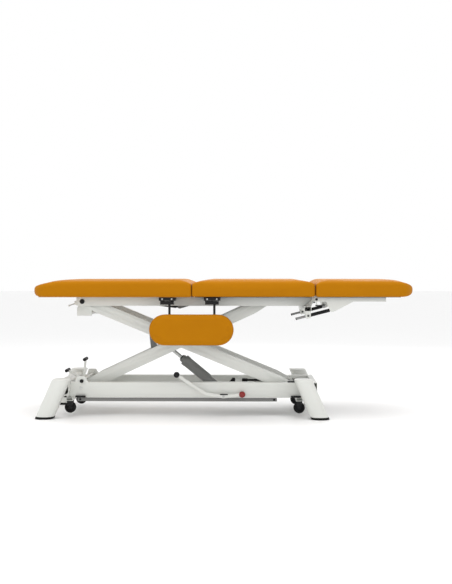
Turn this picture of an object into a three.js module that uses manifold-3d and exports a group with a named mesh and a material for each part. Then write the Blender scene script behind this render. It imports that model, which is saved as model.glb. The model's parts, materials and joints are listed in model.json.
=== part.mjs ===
// Height-adjustable examination couch: base frame, scissor lift with hydraulic cylinder,
// top frame, hinged backrest and leg section, fold-down armrest and retractable casters.
// Millimetres, +Z up, +X towards the foot end, -Y is the front. The origin is on the floor
// at the middle of the couch.
import * as THREE from 'three';
import { mergeVertices } from 'three/addons/utils/BufferGeometryUtils.js';
import Module from 'manifold-3d';

const wasm = await Module();
wasm.setup();

// Overall sizes
const couchLength = 1930;
const couchWidth = 662;
const couchHeight = 701;

// Upholstery
const cushionThickness = 88.7;
const legCushionLength = 501.5;
const seatCushionLength = 618.5;
const cushionInset = 6;
const boardThickness = 8.4;
const backrestMaxAngle = 60;
const legMaxAngle = 40;

// Clearances
const gap = 0.3;
const pinClearance = 0.3;
const slotClearance = 3;
const hingeClearance = 1.5;
const rollerClearance = 3.5;

// Box tubes and shafts
const baseRailHeight = 61;
const baseRailWidth = 45;
const baseRailWall = 3;
const topRailHeight = 46;
const topRailWidth = 40;
const topRailWall = 2.5;
const railSetback = 131;
const baseRailTop = 174;
const armDepth = 60;
const armWidth = 30;
const armWall = 2.5;
const shaftRadius = 10;
const armSideGap = 2.5;

// Legs and feet
const legLengthX = 92;
const legWidthY = 110;
const legTop = 200;
const legWall = 4;
const legCorner = 40;
const legSlope = 0.441;
const footThickness = 12;

// Casters
const wheelRadius = 29;
const wheelWidth = 24;
const wheelCentre = 43;
const casterSetback = 156;

const halfWidth = couchWidth / 2;
const leftEnd = -couchLength / 2;
const rightEnd = couchLength / 2;
const cushionHalfWidth = halfWidth - cushionInset;
const cushionBottom = couchHeight - cushionThickness;
const topRailTop = cushionBottom - gap;
const topRailBottom = topRailTop - topRailHeight;
const baseRailBottom = baseRailTop - baseRailHeight;
const railOuter = halfWidth - railSetback;
const baseRailInner = railOuter - baseRailWidth;
const topRailInner = railOuter - topRailWidth;
const outerArmOuter = baseRailInner - armSideGap;
const outerArmInner = outerArmOuter - armWidth;
const innerArmOuter = outerArmInner - 4.5;
const innerArmInner = innerArmOuter - armWidth;

// Hinge lines of the upholstered sections, in the XZ plane
const hingeDrop = 9;
const legHinge = { x: rightEnd - legCushionLength, z: topRailTop - hingeDrop };
const backHinge = { x: legHinge.x - seatCushionLength, z: topRailTop - hingeDrop };

// Scissor pivots, in the XZ plane
const lowerPivot = { x: leftEnd + 244, z: baseRailTop - baseRailHeight / 2 + 1.5 };
const upperPivot = { x: leftEnd + 244, z: topRailTop - 24 };
const lowerRoller = { x: rightEnd - 610.8, z: lowerPivot.z };
const upperRoller = { x: rightEnd - 736.4, z: upperPivot.z };
const lowerRollerRadius = baseRailHeight / 2 - baseRailWall - rollerClearance;
const upperRollerRadius = 15;
const middlePivot = crossing(upperPivot, lowerRoller, lowerPivot, upperRoller);

// Track length that each roller needs, left and right of its place at rest
const lowerTrack = { left: 190, right: 96 };
const upperTrack = { left: 189, right: 96 };

// Hydraulic cylinder, in the XZ plane
const hornDistance = 389.5;
const hornRise = { x: -12, z: 104.3 };
const hornTubeRadius = 15;
const innerArmAngle = angleTo(lowerPivot, upperRoller);
const hornFoot = along(lowerPivot, innerArmAngle, hornDistance);
const rodPin = { x: hornFoot.x + hornRise.x, z: hornFoot.z + hornRise.z };
const cylinderPin = { x: middlePivot.x + 206.7, z: 110 };
const cylinderBodyLength = 273;
const cylinderRodLength = 360;
const cylinderBoreDepth = 30;
const cylinderRodRadius = 9;
const cylinderRadius = 29;
const cylinderFootRadius = 22;
const eyeHalfWidth = 14.7;
const pinRadius = 6;

// Pump pedal
const pumpPivot = { x: cylinderPin.x + 13, z: 104 };
const pumpShaftRadius = 6;
const pumpPedalOffset = 22;
const pumpPedalThickness = 8;

// Wheel lift
const pedalPivot = { x: lowerPivot.x - 3, z: baseRailTop + 6 };
const pedalShaftRadius = 5;
const leftWheelPivot = { x: lowerPivot.x + 121, z: 125 };
const rightWheelPivot = { x: rightEnd - 845, z: 125 };
const leftCaster = leftEnd + casterSetback + 22;
const rightCaster = rightEnd - 575;
const casterOffset = railOuter - 25;
const wheelTubeBottom = 79;
const wheelTubeHeight = 15;
const wheelTubeLength = 34;

// Gas spring of the backrest
const gasOffset = 60;
const gasLower = { x: backHinge.x - 85, z: backHinge.z - 50 };
const gasUpper = { x: backHinge.x - 405, z: backHinge.z - 8 };
const gasBodyRadius = 11;
const gasRodRadius = 5;

// Lock struts of the leg section
const lockOffset = railOuter + 47;
const lockPivot = { x: legHinge.x - 33, z: legHinge.z - 85 };
const lockEye = { x: legHinge.x + 86, z: legHinge.z - 54 };
const lockRodRadius = 6;
const lockSleeveRadius = 9;

// Armrest on the front side
const armrestHinge = { y: -(halfWidth - 51), z: topRailTop - 28 };
const armrestCentres = [backHinge.x - 125, backHinge.x + 101];
const padLength = 429;
const padHeight = 160;
const padThickness = 44.7;
const padCentreX = (armrestCentres[0] + armrestCentres[1]) / 2 + 10.5;
const padTop = armrestHinge.z - 55.1;

const white = { color: 0xd6dad3, roughness: 0.42, metalness: 0.1 };
const black = { color: 0x17181a, roughness: 0.55, metalness: 0.0 };
const steel = { color: 0xb4b6b5, roughness: 0.3, metalness: 0.9 };
const grey = { color: 0x82847c, roughness: 0.45, metalness: 0.4 };
const mustard = { color: 0xc8800a, roughness: 0.6, metalness: 0.0 };
const wood = { color: 0xa98556, roughness: 0.75, metalness: 0.0 };

// ---- Points in the XZ plane

function angleTo(from, to) {
  return Math.atan2(to.z - from.z, to.x - from.x);
}

function distance(from, to) {
  return Math.hypot(to.x - from.x, to.z - from.z);
}

function along(from, angle, length, aside = 0) {
  return {
    x: from.x + Math.cos(angle) * length - Math.sin(angle) * aside,
    z: from.z + Math.sin(angle) * length + Math.cos(angle) * aside,
  };
}

function crossing(a, b, c, d) {
  const abx = b.x - a.x;
  const abz = b.z - a.z;
  const cdx = d.x - c.x;
  const cdz = d.z - c.z;
  const t = ((c.x - a.x) * cdz - (c.z - a.z) * cdx) / (abx * cdz - abz * cdx);
  return { x: a.x + abx * t, z: a.z + abz * t };
}

// ---- Solids

function solid(geometry) {
  geometry.deleteAttribute('normal');
  geometry.deleteAttribute('uv');
  const merged = mergeVertices(geometry, 1e-4);
  const mesh = new wasm.Mesh({
    numProp: 3,
    vertProperties: new Float32Array(merged.attributes.position.array),
    triVerts: new Uint32Array(merged.index.array),
  });
  return new wasm.Manifold(mesh);
}

const extrusion = { bevelEnabled: false, curveSegments: 5 };

function block(x0, x1, y0, y1, z0, z1) {
  const geometry = new THREE.BoxGeometry(x1 - x0, y1 - y0, z1 - z0);
  geometry.translate((x0 + x1) / 2, (y0 + y1) / 2, (z0 + z1) / 2);
  return solid(geometry);
}

// Extrudes an outline of the XZ plane from y0 to y1.
function plate(outline, y0, y1) {
  const geometry = new THREE.ExtrudeGeometry(outline, { ...extrusion, depth: y1 - y0 });
  geometry.rotateX(Math.PI / 2);
  geometry.translate(0, y1, 0);
  return solid(geometry);
}

// Extrudes a section of the YZ plane from x0 to x1.
function bar(section, x0, x1) {
  const geometry = new THREE.ExtrudeGeometry(section, { ...extrusion, depth: x1 - x0 });
  const basis = new THREE.Matrix4().makeBasis(
    new THREE.Vector3(0, 1, 0),
    new THREE.Vector3(0, 0, 1),
    new THREE.Vector3(1, 0, 0),
  );
  geometry.applyMatrix4(basis);
  geometry.translate(x0, 0, 0);
  return solid(geometry);
}

function rod(from, to, radius, sides = 12) {
  const start = new THREE.Vector3(...from);
  const axis = new THREE.Vector3(...to).sub(start);
  const geometry = new THREE.CylinderGeometry(radius, radius, axis.length(), sides);
  geometry.translate(0, axis.length() / 2, 0);
  const turn = new THREE.Quaternion().setFromUnitVectors(new THREE.Vector3(0, 1, 0), axis.normalize());
  geometry.applyQuaternion(turn);
  geometry.translate(start.x, start.y, start.z);
  return solid(geometry);
}

// A round shaft along Y through a point of the XZ plane.
function shaft(point, y0, y1, radius, sides = 16) {
  return rod([point.x, y0, point.z], [point.x, y1, point.z], radius, sides);
}

function polygon(points) {
  return new THREE.Shape(points.map(([x, y]) => new THREE.Vector2(x, y)));
}

function rectangle(x0, x1, y0, y1) {
  return polygon([[x0, y0], [x1, y0], [x1, y1], [x0, y1]]);
}

function hollow(x0, x1, y0, y1, wall) {
  const shape = rectangle(x0, x1, y0, y1);
  shape.holes.push(rectangle(x0 + wall, x1 - wall, y0 + wall, y1 - wall));
  return shape;
}

function span(side, inner, outer) {
  return side > 0 ? [inner, outer] : [-outer, -inner];
}

function join(solids) {
  return solids.reduce((whole, next) => whole.add(next));
}

const model = new THREE.Group();

function addNode(name, manifold, look) {
  const result = manifold.getMesh();
  const geometry = new THREE.BufferGeometry();
  geometry.setAttribute('position', new THREE.BufferAttribute(result.vertProperties, 3));
  geometry.setIndex(new THREE.BufferAttribute(result.triVerts, 1));
  geometry.computeVertexNormals();
  const mesh = new THREE.Mesh(geometry, new THREE.MeshStandardMaterial({ ...look, name }));
  mesh.name = name;
  model.add(mesh);
}

const sides = [['front', -1], ['rear', 1]];

// ---- Base frame

const leftBeam = { x0: leftEnd + 120, x1: leftEnd + 180, z0: baseRailBottom, z1: baseRailTop + 12 };
const baseRailLeft = leftBeam.x1 + gap;
const baseRailRight = rightEnd - 513;
const leftBeamCorner = 18;
const beamReach = halfWidth - legWidthY + 18;
const lugHeight = 31;

function baseRail(side) {
  const y = (value) => side * value;
  const lipWidth = 4;
  const lipDrop = 18;
  const lipSlant = 9;
  const section = polygon([
    [y(baseRailInner), baseRailBottom],
    [y(railOuter - lipWidth), baseRailBottom],
    [y(railOuter - lipSlant - lipWidth), baseRailBottom - lipDrop],
    [y(railOuter - lipSlant), baseRailBottom - lipDrop],
    [y(railOuter), baseRailBottom],
    [y(railOuter), baseRailTop],
    [y(baseRailInner), baseRailTop],
  ]);
  const [hollowInner, hollowOuter] = span(side, baseRailInner + baseRailWall, railOuter - baseRailWall);
  const hollowBottom = baseRailBottom + baseRailWall;
  section.holes.push(rectangle(hollowInner, hollowOuter, hollowBottom, baseRailTop - baseRailWall));
  let rail = bar(section, baseRailLeft, baseRailRight);

  const [slotInner, slotOuter] = span(side, baseRailInner - 1, baseRailInner + baseRailWall + 1);
  const slotHalf = shaftRadius + slotClearance;
  const slotLeft = lowerRoller.x - lowerTrack.left;
  const slotRight = Math.min(lowerRoller.x + lowerTrack.right, baseRailRight - 2);
  const slotTop = lowerRoller.z + slotHalf;
  rail = rail.subtract(block(slotLeft, slotRight, slotInner, slotOuter, lowerRoller.z - slotHalf, slotTop));

  // Upright lug that carries the shaft of the wheel pedal
  const [lugInner, lugOuter] = span(side, railOuter - 5, railOuter);
  const lug = polygon([
    [pedalPivot.x - 36, baseRailTop - 1],
    [pedalPivot.x + 34, baseRailTop - 1],
    [pedalPivot.x + 14, baseRailTop + lugHeight],
    [pedalPivot.x - 26, baseRailTop + lugHeight],
  ]);
  rail = rail.add(plate(lug, lugInner, lugOuter));
  rail = rail.subtract(shaft(pedalPivot, lugInner - 1, lugOuter + 1, pedalShaftRadius + pinClearance, 12));
  return rail;
}

for (const [name, side] of sides) {
  let rail = baseRail(side);
  if (side < 0) {
    rail = rail.subtract(shaft(pumpPivot, -railOuter - 2, -baseRailInner - 20, pumpShaftRadius + 2, 16));
  }
  addNode(`base_rail_${name}`, rail, white);
}

function beamSection(x0, x1, z0, z1, wall, corner) {
  const outline = (inset) => {
    const radius = Math.max(corner - inset, 1);
    const left = x0 + inset;
    const right = x1 - inset;
    const bottom = z0 + inset;
    const top = z1 - inset;
    const shape = new THREE.Shape();
    shape.moveTo(left + radius, bottom);
    shape.lineTo(right - radius, bottom);
    shape.absarc(right - radius, bottom + radius, radius, -Math.PI / 2, 0);
    shape.lineTo(right, top - radius);
    shape.absarc(right - radius, top - radius, radius, 0, Math.PI / 2);
    shape.lineTo(left + radius, top);
    shape.absarc(left + radius, top - radius, radius, Math.PI / 2, Math.PI);
    shape.lineTo(left, bottom + radius);
    shape.absarc(left + radius, bottom + radius, radius, Math.PI, Math.PI * 1.5);
    return shape;
  };
  const shape = outline(0);
  if (wall > 0) {
    shape.holes.push(outline(wall));
  }
  return shape;
}

const { x0: beamX0, x1: beamX1, z0: beamZ0, z1: beamZ1 } = leftBeam;
const leftSection = beamSection(beamX0, beamX1, beamZ0, beamZ1, baseRailWall, leftBeamCorner);
addNode('end_beam_left', plate(leftSection, -beamReach, beamReach), white);

const rightBeamX = { x0: baseRailRight + gap, x1: baseRailRight + 30 };
const rightSection = beamSection(rightBeamX.x0, rightBeamX.x1, baseRailBottom, baseRailTop, baseRailWall, 4);
addNode('end_beam_right', plate(rightSection, -railOuter, railOuter), white);

// Leaning leg of rounded section; "lean" is the direction in which the foot is thrown out.
function legBody(centreX, centreY, lean, inset, z0, z1) {
  const halfX = legLengthX / 2 - inset;
  const halfY = legWidthY / 2 - inset;
  const corner = legCorner - inset;
  const shape = beamSection(-halfX, halfX, -halfY, halfY, 0, corner);
  const geometry = new THREE.ExtrudeGeometry(shape, { ...extrusion, depth: z1 - z0, curveSegments: 4 });
  geometry.translate(centreX, centreY, z0);
  const shear = new THREE.Matrix4();
  shear.elements[8] = -lean * legSlope;
  shear.elements[12] = lean * legSlope * legTop;
  geometry.applyMatrix4(shear);
  return solid(geometry);
}

const legCentreY = halfWidth - legWidthY / 2;
const legCorners = [
  ['front_left', leftEnd + 152, -1, -1],
  ['rear_left', leftEnd + 152, 1, -1],
  ['front_right', rightEnd - 562, -1, 1],
  ['rear_right', rightEnd - 562, 1, 1],
];

for (const [name, topX, side, lean] of legCorners) {
  const y = side * legCentreY;
  const outer = legBody(topX, y, lean, 0, footThickness + gap, legTop);
  const inner = legBody(topX, y, lean, legWall, footThickness, legTop - legWall);
  let leg = outer.subtract(inner);
  if (lean < 0) {
    const socket = beamSection(beamX0 - gap, beamX1 + gap, beamZ0 - gap, beamZ1 + gap, 0, leftBeamCorner);
    leg = leg.subtract(plate(socket, -beamReach - 1, beamReach + 1));
  } else {
    const [y0, y1] = span(side, railOuter + gap, halfWidth - legWidthY + 9);
    const stub = block(topX + 8, topX + 44, y0, y1, baseRailBottom + 8, baseRailTop - 8);
    leg = leg.add(stub.subtract(inner));
  }
  addNode(`leg_${name}`, leg, white);
  addNode(`foot_${name}`, legBody(topX, y, lean, 0, 0, footThickness), black);
}

// ---- Scissor lift

const shaftReach = baseRailInner - gap;
addNode('lower_pivot_shaft', shaft(lowerPivot, -shaftReach, shaftReach, shaftRadius), steel);

// Arm in the XZ plane between two pivots, with rounded and tapered ends.
function armOutline(from, to, inset = 0) {
  const endRadius = 20;
  const taper = 80;
  const half = armDepth / 2 - inset;
  const length = distance(from, to);
  const angle = angleTo(from, to);
  const steps = 8;
  const points = [];
  for (let i = 0; i <= steps; i += 1) {
    const turn = Math.PI / 2 + (Math.PI * i) / steps;
    points.push(along(from, angle, Math.cos(turn) * endRadius, Math.sin(turn) * endRadius));
  }
  points.push(along(from, angle, taper, -half));
  points.push(along(from, angle, length - taper, -half));
  for (let i = 0; i <= steps; i += 1) {
    const turn = -Math.PI / 2 + (Math.PI * i) / steps;
    points.push(along(from, angle, length + Math.cos(turn) * endRadius, Math.sin(turn) * endRadius));
  }
  points.push(along(from, angle, length - taper, half));
  points.push(along(from, angle, taper, half));
  return polygon(points.map((p) => [p.x, p.z]));
}

function armCavity(from, to, y0, y1) {
  const half = armDepth / 2 - armWall;
  const length = distance(from, to);
  const angle = angleTo(from, to);
  const corners = [[90, -half], [length - 90, -half], [length - 90, half], [90, half]];
  const outline = polygon(corners.map(([s, n]) => {
    const p = along(from, angle, s, n);
    return [p.x, p.z];
  }));
  const drainTop = along(from, angle, 110, -half + 1);
  const drainBottom = along(from, angle, 110, -armDepth / 2 - 2);
  const middleY = (y0 + y1) / 2;
  const drain = rod([drainTop.x, middleY, drainTop.z], [drainBottom.x, middleY, drainBottom.z], 5, 10);
  return plate(outline, y0 + armWall, y1 - armWall).add(drain);
}

function arm(from, to, y0, y1, bores) {
  let body = plate(armOutline(from, to), y0, y1).subtract(armCavity(from, to, y0, y1));
  body = body.add(shaft(middlePivot, y0, y1, 24, 16));
  for (const [point, radius] of bores) {
    body = body.subtract(shaft(point, y0 - 1, y1 + 1, radius + pinClearance));
  }
  return body;
}

const crossTubeDrop = 54;
const crossTube = { x: upperPivot.x, z: upperPivot.z - crossTubeDrop };
const scissorPinRadius = 12;

for (const [name, side] of sides) {
  const [y0, y1] = span(side, innerArmInner, innerArmOuter);
  const bores = [[lowerPivot, shaftRadius], [upperRoller, shaftRadius], [middlePivot, scissorPinRadius]];
  addNode(`inner_arm_${name}`, arm(lowerPivot, upperRoller, y0, y1, bores), white);
}

for (const [name, side] of sides) {
  const [y0, y1] = span(side, outerArmInner, outerArmOuter);
  const bores = [[upperPivot, shaftRadius], [lowerRoller, shaftRadius]];
  const lug = polygon([
    [upperPivot.x - 18, upperPivot.z],
    [crossTube.x - 38, crossTube.z + 18],
    [crossTube.x - 38, crossTube.z - 22],
    [crossTube.x + 38, crossTube.z - 22],
    [crossTube.x + 38, crossTube.z + 18],
  ]);
  const lugSpan = span(side, outerArmInner, outerArmInner + 6);
  const pinSpan = span(side, innerArmInner, outerArmInner + 1);
  const body = arm(upperPivot, lowerRoller, y0, y1, bores);
  const lugBore = shaft(upperPivot, y0 - 1, y1 + 1, shaftRadius + pinClearance);
  const boredLug = plate(lug, ...lugSpan).subtract(lugBore);
  const scissorPin = shaft(middlePivot, ...pinSpan, scissorPinRadius);
  addNode(`outer_arm_${name}`, join([body, boredLug, scissorPin]), white);
}

const crossSection = hollow(crossTube.x - 30, crossTube.x + 30, crossTube.z - 18, crossTube.z + 18, 3);
addNode('outer_cross_tube', plate(crossSection, -outerArmInner + gap, outerArmInner - gap), white);

const upperShaftReach = railOuter - topRailWall - 2;
addNode('upper_pivot_shaft', shaft(upperPivot, -upperShaftReach, upperShaftReach, shaftRadius), steel);

function rollerAxle(point, trackInner, trackOuter, rollerRadius) {
  const inner = trackInner + 3;
  const outer = trackOuter - 3;
  const rollers = sides.map(([, side]) => shaft(point, ...span(side, inner, outer), rollerRadius, 16));
  return join([shaft(point, -outer, outer, shaftRadius), ...rollers]);
}

const lowerTrackOuter = railOuter - baseRailWall;
const upperTrackOuter = railOuter - topRailWall;
const lowerAxle = rollerAxle(lowerRoller, baseRailInner + baseRailWall, lowerTrackOuter, lowerRollerRadius);
addNode('lower_roller_axle', lowerAxle, black);
const upperAxle = rollerAxle(upperRoller, topRailInner + topRailWall, upperTrackOuter, upperRollerRadius);
addNode('upper_roller_axle', upperAxle, black);

// ---- Hydraulic cylinder

const hornReach = innerArmInner - gap;
const hornOutline = polygon([
  [hornFoot.x - hornTubeRadius, hornFoot.z],
  [hornFoot.x + hornTubeRadius, hornFoot.z],
  [rodPin.x + 14, rodPin.z + 6],
  [rodPin.x + 6, rodPin.z + 15],
  [rodPin.x - 8, rodPin.z + 15],
  [rodPin.x - 15, rodPin.z + 4],
]);
const hornPlates = sides.map(([, side]) => plate(hornOutline, ...span(side, 12, 18)));
const hornTube = shaft(hornFoot, -hornReach, hornReach, hornTubeRadius);
const hornBore = shaft(rodPin, -20, 20, pinRadius + pinClearance, 12);
addNode('lift_horn', join([hornTube, ...hornPlates]).subtract(hornBore), grey);

// Solid of revolution along an XZ direction; the profile is a list of [radius, height].
function turned(origin, angle, y, profile, segments = 16) {
  const points = profile.map(([radius, height]) => new THREE.Vector2(radius, height));
  const geometry = new THREE.LatheGeometry(points, segments);
  geometry.rotateZ(-Math.PI / 2);
  geometry.rotateY(-angle);
  geometry.translate(origin.x, y, origin.z);
  return solid(geometry);
}

const cylinderAngle = angleTo(cylinderPin, rodPin);
const cylinderSpan = distance(cylinderPin, rodPin);
const boreRadius = cylinderRodRadius + 1;
const cylinderProfile = [
  [0, 22],
  [cylinderFootRadius, 22],
  [cylinderFootRadius + 1, cylinderBodyLength - 70],
  [cylinderRadius, cylinderBodyLength - 52],
  [cylinderRadius, cylinderBodyLength],
  [boreRadius, cylinderBodyLength],
  [boreRadius, cylinderBoreDepth],
  [0, cylinderBoreDepth],
];
const cylinderEye = shaft(cylinderPin, -eyeHalfWidth, eyeHalfWidth, 12);
const cylinderBore = shaft(cylinderPin, -40, 40, pinRadius + pinClearance + 0.2, 12);
const cylinderTube = turned(cylinderPin, cylinderAngle, 0, cylinderProfile);
const neckEnd = along(cylinderPin, cylinderAngle, 24);
const cylinderNeck = rod([cylinderPin.x, 0, cylinderPin.z], [neckEnd.x, 0, neckEnd.z], 13, 16);
addNode('cylinder_body', join([cylinderTube, cylinderNeck, cylinderEye]).subtract(cylinderBore), grey);

const rodStart = along(cylinderPin, cylinderAngle, cylinderSpan - cylinderRodLength);
const rodTongue = shaft(rodPin, -9, 9, 12).subtract(shaft(rodPin, -10, 10, pinRadius, 12));
const rodTip = along(rodPin, cylinderAngle, -9);
const piston = rod([rodStart.x, 0, rodStart.z], [rodTip.x, 0, rodTip.z], cylinderRodRadius, 16);
addNode('cylinder_rod', piston.add(rodTongue), steel);

const mountTubeX = cylinderPin.x + 24;
const mountTube = hollow(mountTubeX, mountTubeX + 30, cylinderPin.z - 15, cylinderPin.z + 15, 3);
const earOutline = polygon([
  [cylinderPin.x - 12, cylinderPin.z - 12],
  [mountTubeX + 2, cylinderPin.z - 15],
  [mountTubeX + 2, cylinderPin.z + 15],
  [cylinderPin.x - 12, cylinderPin.z + 12],
]);
const earOuter = eyeHalfWidth + 6;
const mountEars = sides.map(([, side]) => plate(earOutline, ...span(side, eyeHalfWidth + gap, earOuter)));
const mountPin = shaft(cylinderPin, -earOuter, earOuter, pinRadius, 12);
addNode('cylinder_mount', join([plate(mountTube, -shaftReach, shaftReach), ...mountEars, mountPin]), white);

// ---- Top frame

const topRailLeft = leftEnd + 217;
const topRailRight = legHinge.x - 14.5;

function topRail(side) {
  const section = hollow(...span(side, topRailInner, railOuter), topRailBottom, topRailTop, topRailWall);
  let rail = bar(section, topRailLeft, topRailRight);
  const [inner, outer] = span(side, topRailInner - 1, topRailInner + topRailWall + 1);
  const half = shaftRadius + slotClearance;
  const slotLeft = upperRoller.x - upperTrack.left;
  const slotRight = upperRoller.x + upperTrack.right;
  const slotBottom = upperRoller.z - half;
  rail = rail.subtract(block(slotLeft, slotRight, inner, outer, slotBottom, slotBottom + 2 * half));
  rail = rail.subtract(shaft(upperPivot, inner, outer, shaftRadius + pinClearance));
  return rail;
}

const leverPivot = { x: topRailLeft - 10, z: topRailBottom + 12 };
const leverPlane = topRailInner;
const leverLug = rectangle(leverPivot.x - 9, topRailLeft + 8, leverPivot.z - 9, leverPivot.z + 12);

for (const [name, side] of sides) {
  let rail = topRail(side);
  if (side < 0) {
    rail = rail.add(plate(leverLug, -leverPlane - 1, -leverPlane + 3));
  }
  addNode(`top_rail_${name}`, rail, white);
}

const leverHub = shaft(leverPivot, -leverPlane + 3 + gap, -leverPlane + 12, 6, 12);
const leverEnd = { x: leverPivot.x - 40, z: leverPivot.z - 14 };
const leverY = -leverPlane + 8;
const leverRod = rod([leverPivot.x, leverY, leverPivot.z], [leverEnd.x, leverY, leverEnd.z], 3, 10);
addNode('release_lever', leverHub.add(leverRod), steel);

// Disc-ended lug in the XZ plane that reaches from a hinge line down to a cross member.
function hingeLug(pivot, radius, base, y0, y1) {
  const foot = polygon([
    [base.x0, base.z],
    [base.x1, base.z],
    [pivot.x + radius, pivot.z],
    [pivot.x - radius, pivot.z],
  ]);
  return plate(foot, y0, y1).add(shaft(pivot, y0, y1, radius));
}

const crossReach = topRailInner - gap;
const middleCross = {
  x0: backHinge.x - 20,
  x1: backHinge.x + 20,
  z0: topRailBottom + 4,
  z1: topRailBottom + 22,
};
const middleTube = hollow(middleCross.x0, middleCross.x1, middleCross.z0, middleCross.z1, 2.5);
const hingeRadius = 8.7;
const lugThickness = 6;
const backKnuckleOffsets = [-130, -30, 30 - lugThickness, 130 - lugThickness];
const lugBase = { x0: backHinge.x - 12, x1: backHinge.x + 12, z: middleCross.z1 - 1 };
const backLugs = backKnuckleOffsets.map((y) => {
  return hingeLug(backHinge, hingeRadius, lugBase, y, y + lugThickness);
});
const gasEarOutline = polygon([
  [gasLower.x - 9, gasLower.z - 7],
  [gasLower.x + 4, gasLower.z - 11],
  [middleCross.x1 - 6, middleCross.z0],
  [middleCross.x1 - 6, middleCross.z0 + 2],
  [middleCross.x0 - 2, middleCross.z1],
  [gasLower.x - 9, gasLower.z + 8],
]);
const gasEarSpans = [[gasOffset - 12, gasOffset - 8], [gasOffset + 8, gasOffset + 12]];
const gasEars = gasEarSpans.map(([y0, y1]) => plate(gasEarOutline, y0, y1));
const gasPin = shaft(gasLower, gasOffset - 12, gasOffset + 12, 4, 12);
const middleCrossBody = join([plate(middleTube, -crossReach, crossReach), ...backLugs, ...gasEars, gasPin]);
addNode('top_cross_middle', middleCrossBody, grey);

const rightCross = { x0: legHinge.x - 53, x1: legHinge.x - 17, z1: topRailBottom - gap };
rightCross.z0 = rightCross.z1 - 26;
const rightTube = hollow(rightCross.x0, rightCross.x1, rightCross.z0, rightCross.z1, 2.5);
const legLugBase = { x0: rightCross.x0 + 8, x1: rightCross.x1 - 1, z: rightCross.z1 - 2 };
const lockEarOutline = polygon([
  [lockPivot.x - 12, lockPivot.z - 12],
  [lockPivot.x + 12, lockPivot.z - 12],
  [rightCross.x1 - 2, rightCross.z0 + 2],
  [rightCross.x0 + 2, rightCross.z0 + 2],
]);
const rightCrossPieces = [plate(rightTube, -lockOffset - 18, lockOffset + 18)];
for (const [, side] of sides) {
  const legLugSpan = span(side, railOuter + 5, railOuter + 13);
  rightCrossPieces.push(hingeLug(legHinge, hingeRadius, legLugBase, ...legLugSpan));
  rightCrossPieces.push(plate(lockEarOutline, ...span(side, lockOffset - 16, lockOffset - 12)));
  rightCrossPieces.push(plate(lockEarOutline, ...span(side, lockOffset + 12, lockOffset + 16)));
}
addNode('top_cross_right', join(rightCrossPieces), white);

// ---- Armrest

const flangeLength = 82;
const flangeHeight = 17.4;
const knuckleHalf = 30;
const knuckleRadius = 9;
const flangeBottom = topRailTop - flangeHeight;
armrestCentres.forEach((x, index) => {
  const flange = [x - flangeLength / 2, x + flangeLength / 2];
  const top = block(...flange, armrestHinge.y - 10, -railOuter - gap, flangeBottom, topRailTop);
  const ears = [-1, 1].map((end) => {
    const x0 = x + end * (knuckleHalf + 2.3);
    const earTop = topRailTop - 2;
    return block(x0 - 2, x0 + 2, armrestHinge.y - 9, armrestHinge.y + 9, armrestHinge.z - 9, earTop);
  });
  addNode(`armrest_bracket_${['left', 'right'][index]}`, join([top, ...ears]), black);
});

const padBottom = padTop - padHeight;
const padBack = -halfWidth + padThickness;
const rodInset = 12;
const rodRadius = 6;
const rodY = padBack + gap + rodRadius;
const knucklePieces = armrestCentres.map((x) => {
  const knuckleEnds = [x - knuckleHalf, x + knuckleHalf].map((end) => [end, armrestHinge.y, armrestHinge.z]);
  const knuckle = rod(...knuckleEnds, knuckleRadius);
  const hangerEnds = [armrestHinge.z, padBottom + 20].map((z) => [x + rodInset, rodY, z]);
  const hanger = rod(...hangerEnds, rodRadius, 12);
  return join([knuckle, hanger]);
});
const tieZ = padTop - padHeight / 2;
const tieRod = rod(
  [armrestCentres[0] + rodInset, rodY, tieZ],
  [armrestCentres[1] + rodInset, rodY, tieZ],
  rodRadius - 1,
  12,
);
addNode('armrest_rods', join([...knucklePieces, tieRod]), black);

const padX0 = padCentreX - padLength / 2;
const padOutline = beamSection(padX0, padX0 + padLength, padBottom, padTop, 0, padHeight / 2 - 1);
addNode('armrest_pad', plate(padOutline, -halfWidth, padBack), mustard);

// ---- Upholstered sections and their boards

const degree = Math.PI / 180;

// X of the bevelled end of a cushion beside a hinge line, at a given height.
function bevel(hinge, maxAngle, direction, z) {
  const lean = Math.tan((maxAngle / 2) * degree) * (z - hinge.z);
  return hinge.x + direction * (hingeClearance + lean);
}

const backCushionBottom = cushionBottom + boardThickness + gap;
const noseTip = 36;

function backCushionOutline() {
  const shape = new THREE.Shape();
  const bottom = backCushionBottom;
  const tipZ = cushionBottom + noseTip;
  shape.moveTo(leftEnd + 26, bottom);
  shape.quadraticCurveTo(leftEnd, bottom + 4, leftEnd, tipZ);
  shape.quadraticCurveTo(leftEnd + 12, couchHeight - 8, leftEnd + 185, couchHeight);
  shape.lineTo(bevel(backHinge, backrestMaxAngle, -1, couchHeight), couchHeight);
  shape.lineTo(bevel(backHinge, backrestMaxAngle, -1, bottom), bottom);
  return shape;
}

function seatCushionOutline() {
  return polygon([
    [bevel(backHinge, backrestMaxAngle, 1, cushionBottom), cushionBottom],
    [bevel(legHinge, legMaxAngle, -1, cushionBottom), cushionBottom],
    [bevel(legHinge, legMaxAngle, -1, couchHeight), couchHeight],
    [bevel(backHinge, backrestMaxAngle, 1, couchHeight), couchHeight],
  ]);
}

function legCushionOutline() {
  const shape = new THREE.Shape();
  const tipZ = cushionBottom + noseTip;
  shape.moveTo(bevel(legHinge, legMaxAngle, 1, cushionBottom), cushionBottom);
  shape.lineTo(rightEnd - 40, cushionBottom);
  shape.quadraticCurveTo(rightEnd, cushionBottom + 6, rightEnd, tipZ);
  shape.quadraticCurveTo(rightEnd - 6, couchHeight - 6, rightEnd - 112, couchHeight);
  shape.lineTo(bevel(legHinge, legMaxAngle, 1, couchHeight), couchHeight);
  return shape;
}

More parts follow.
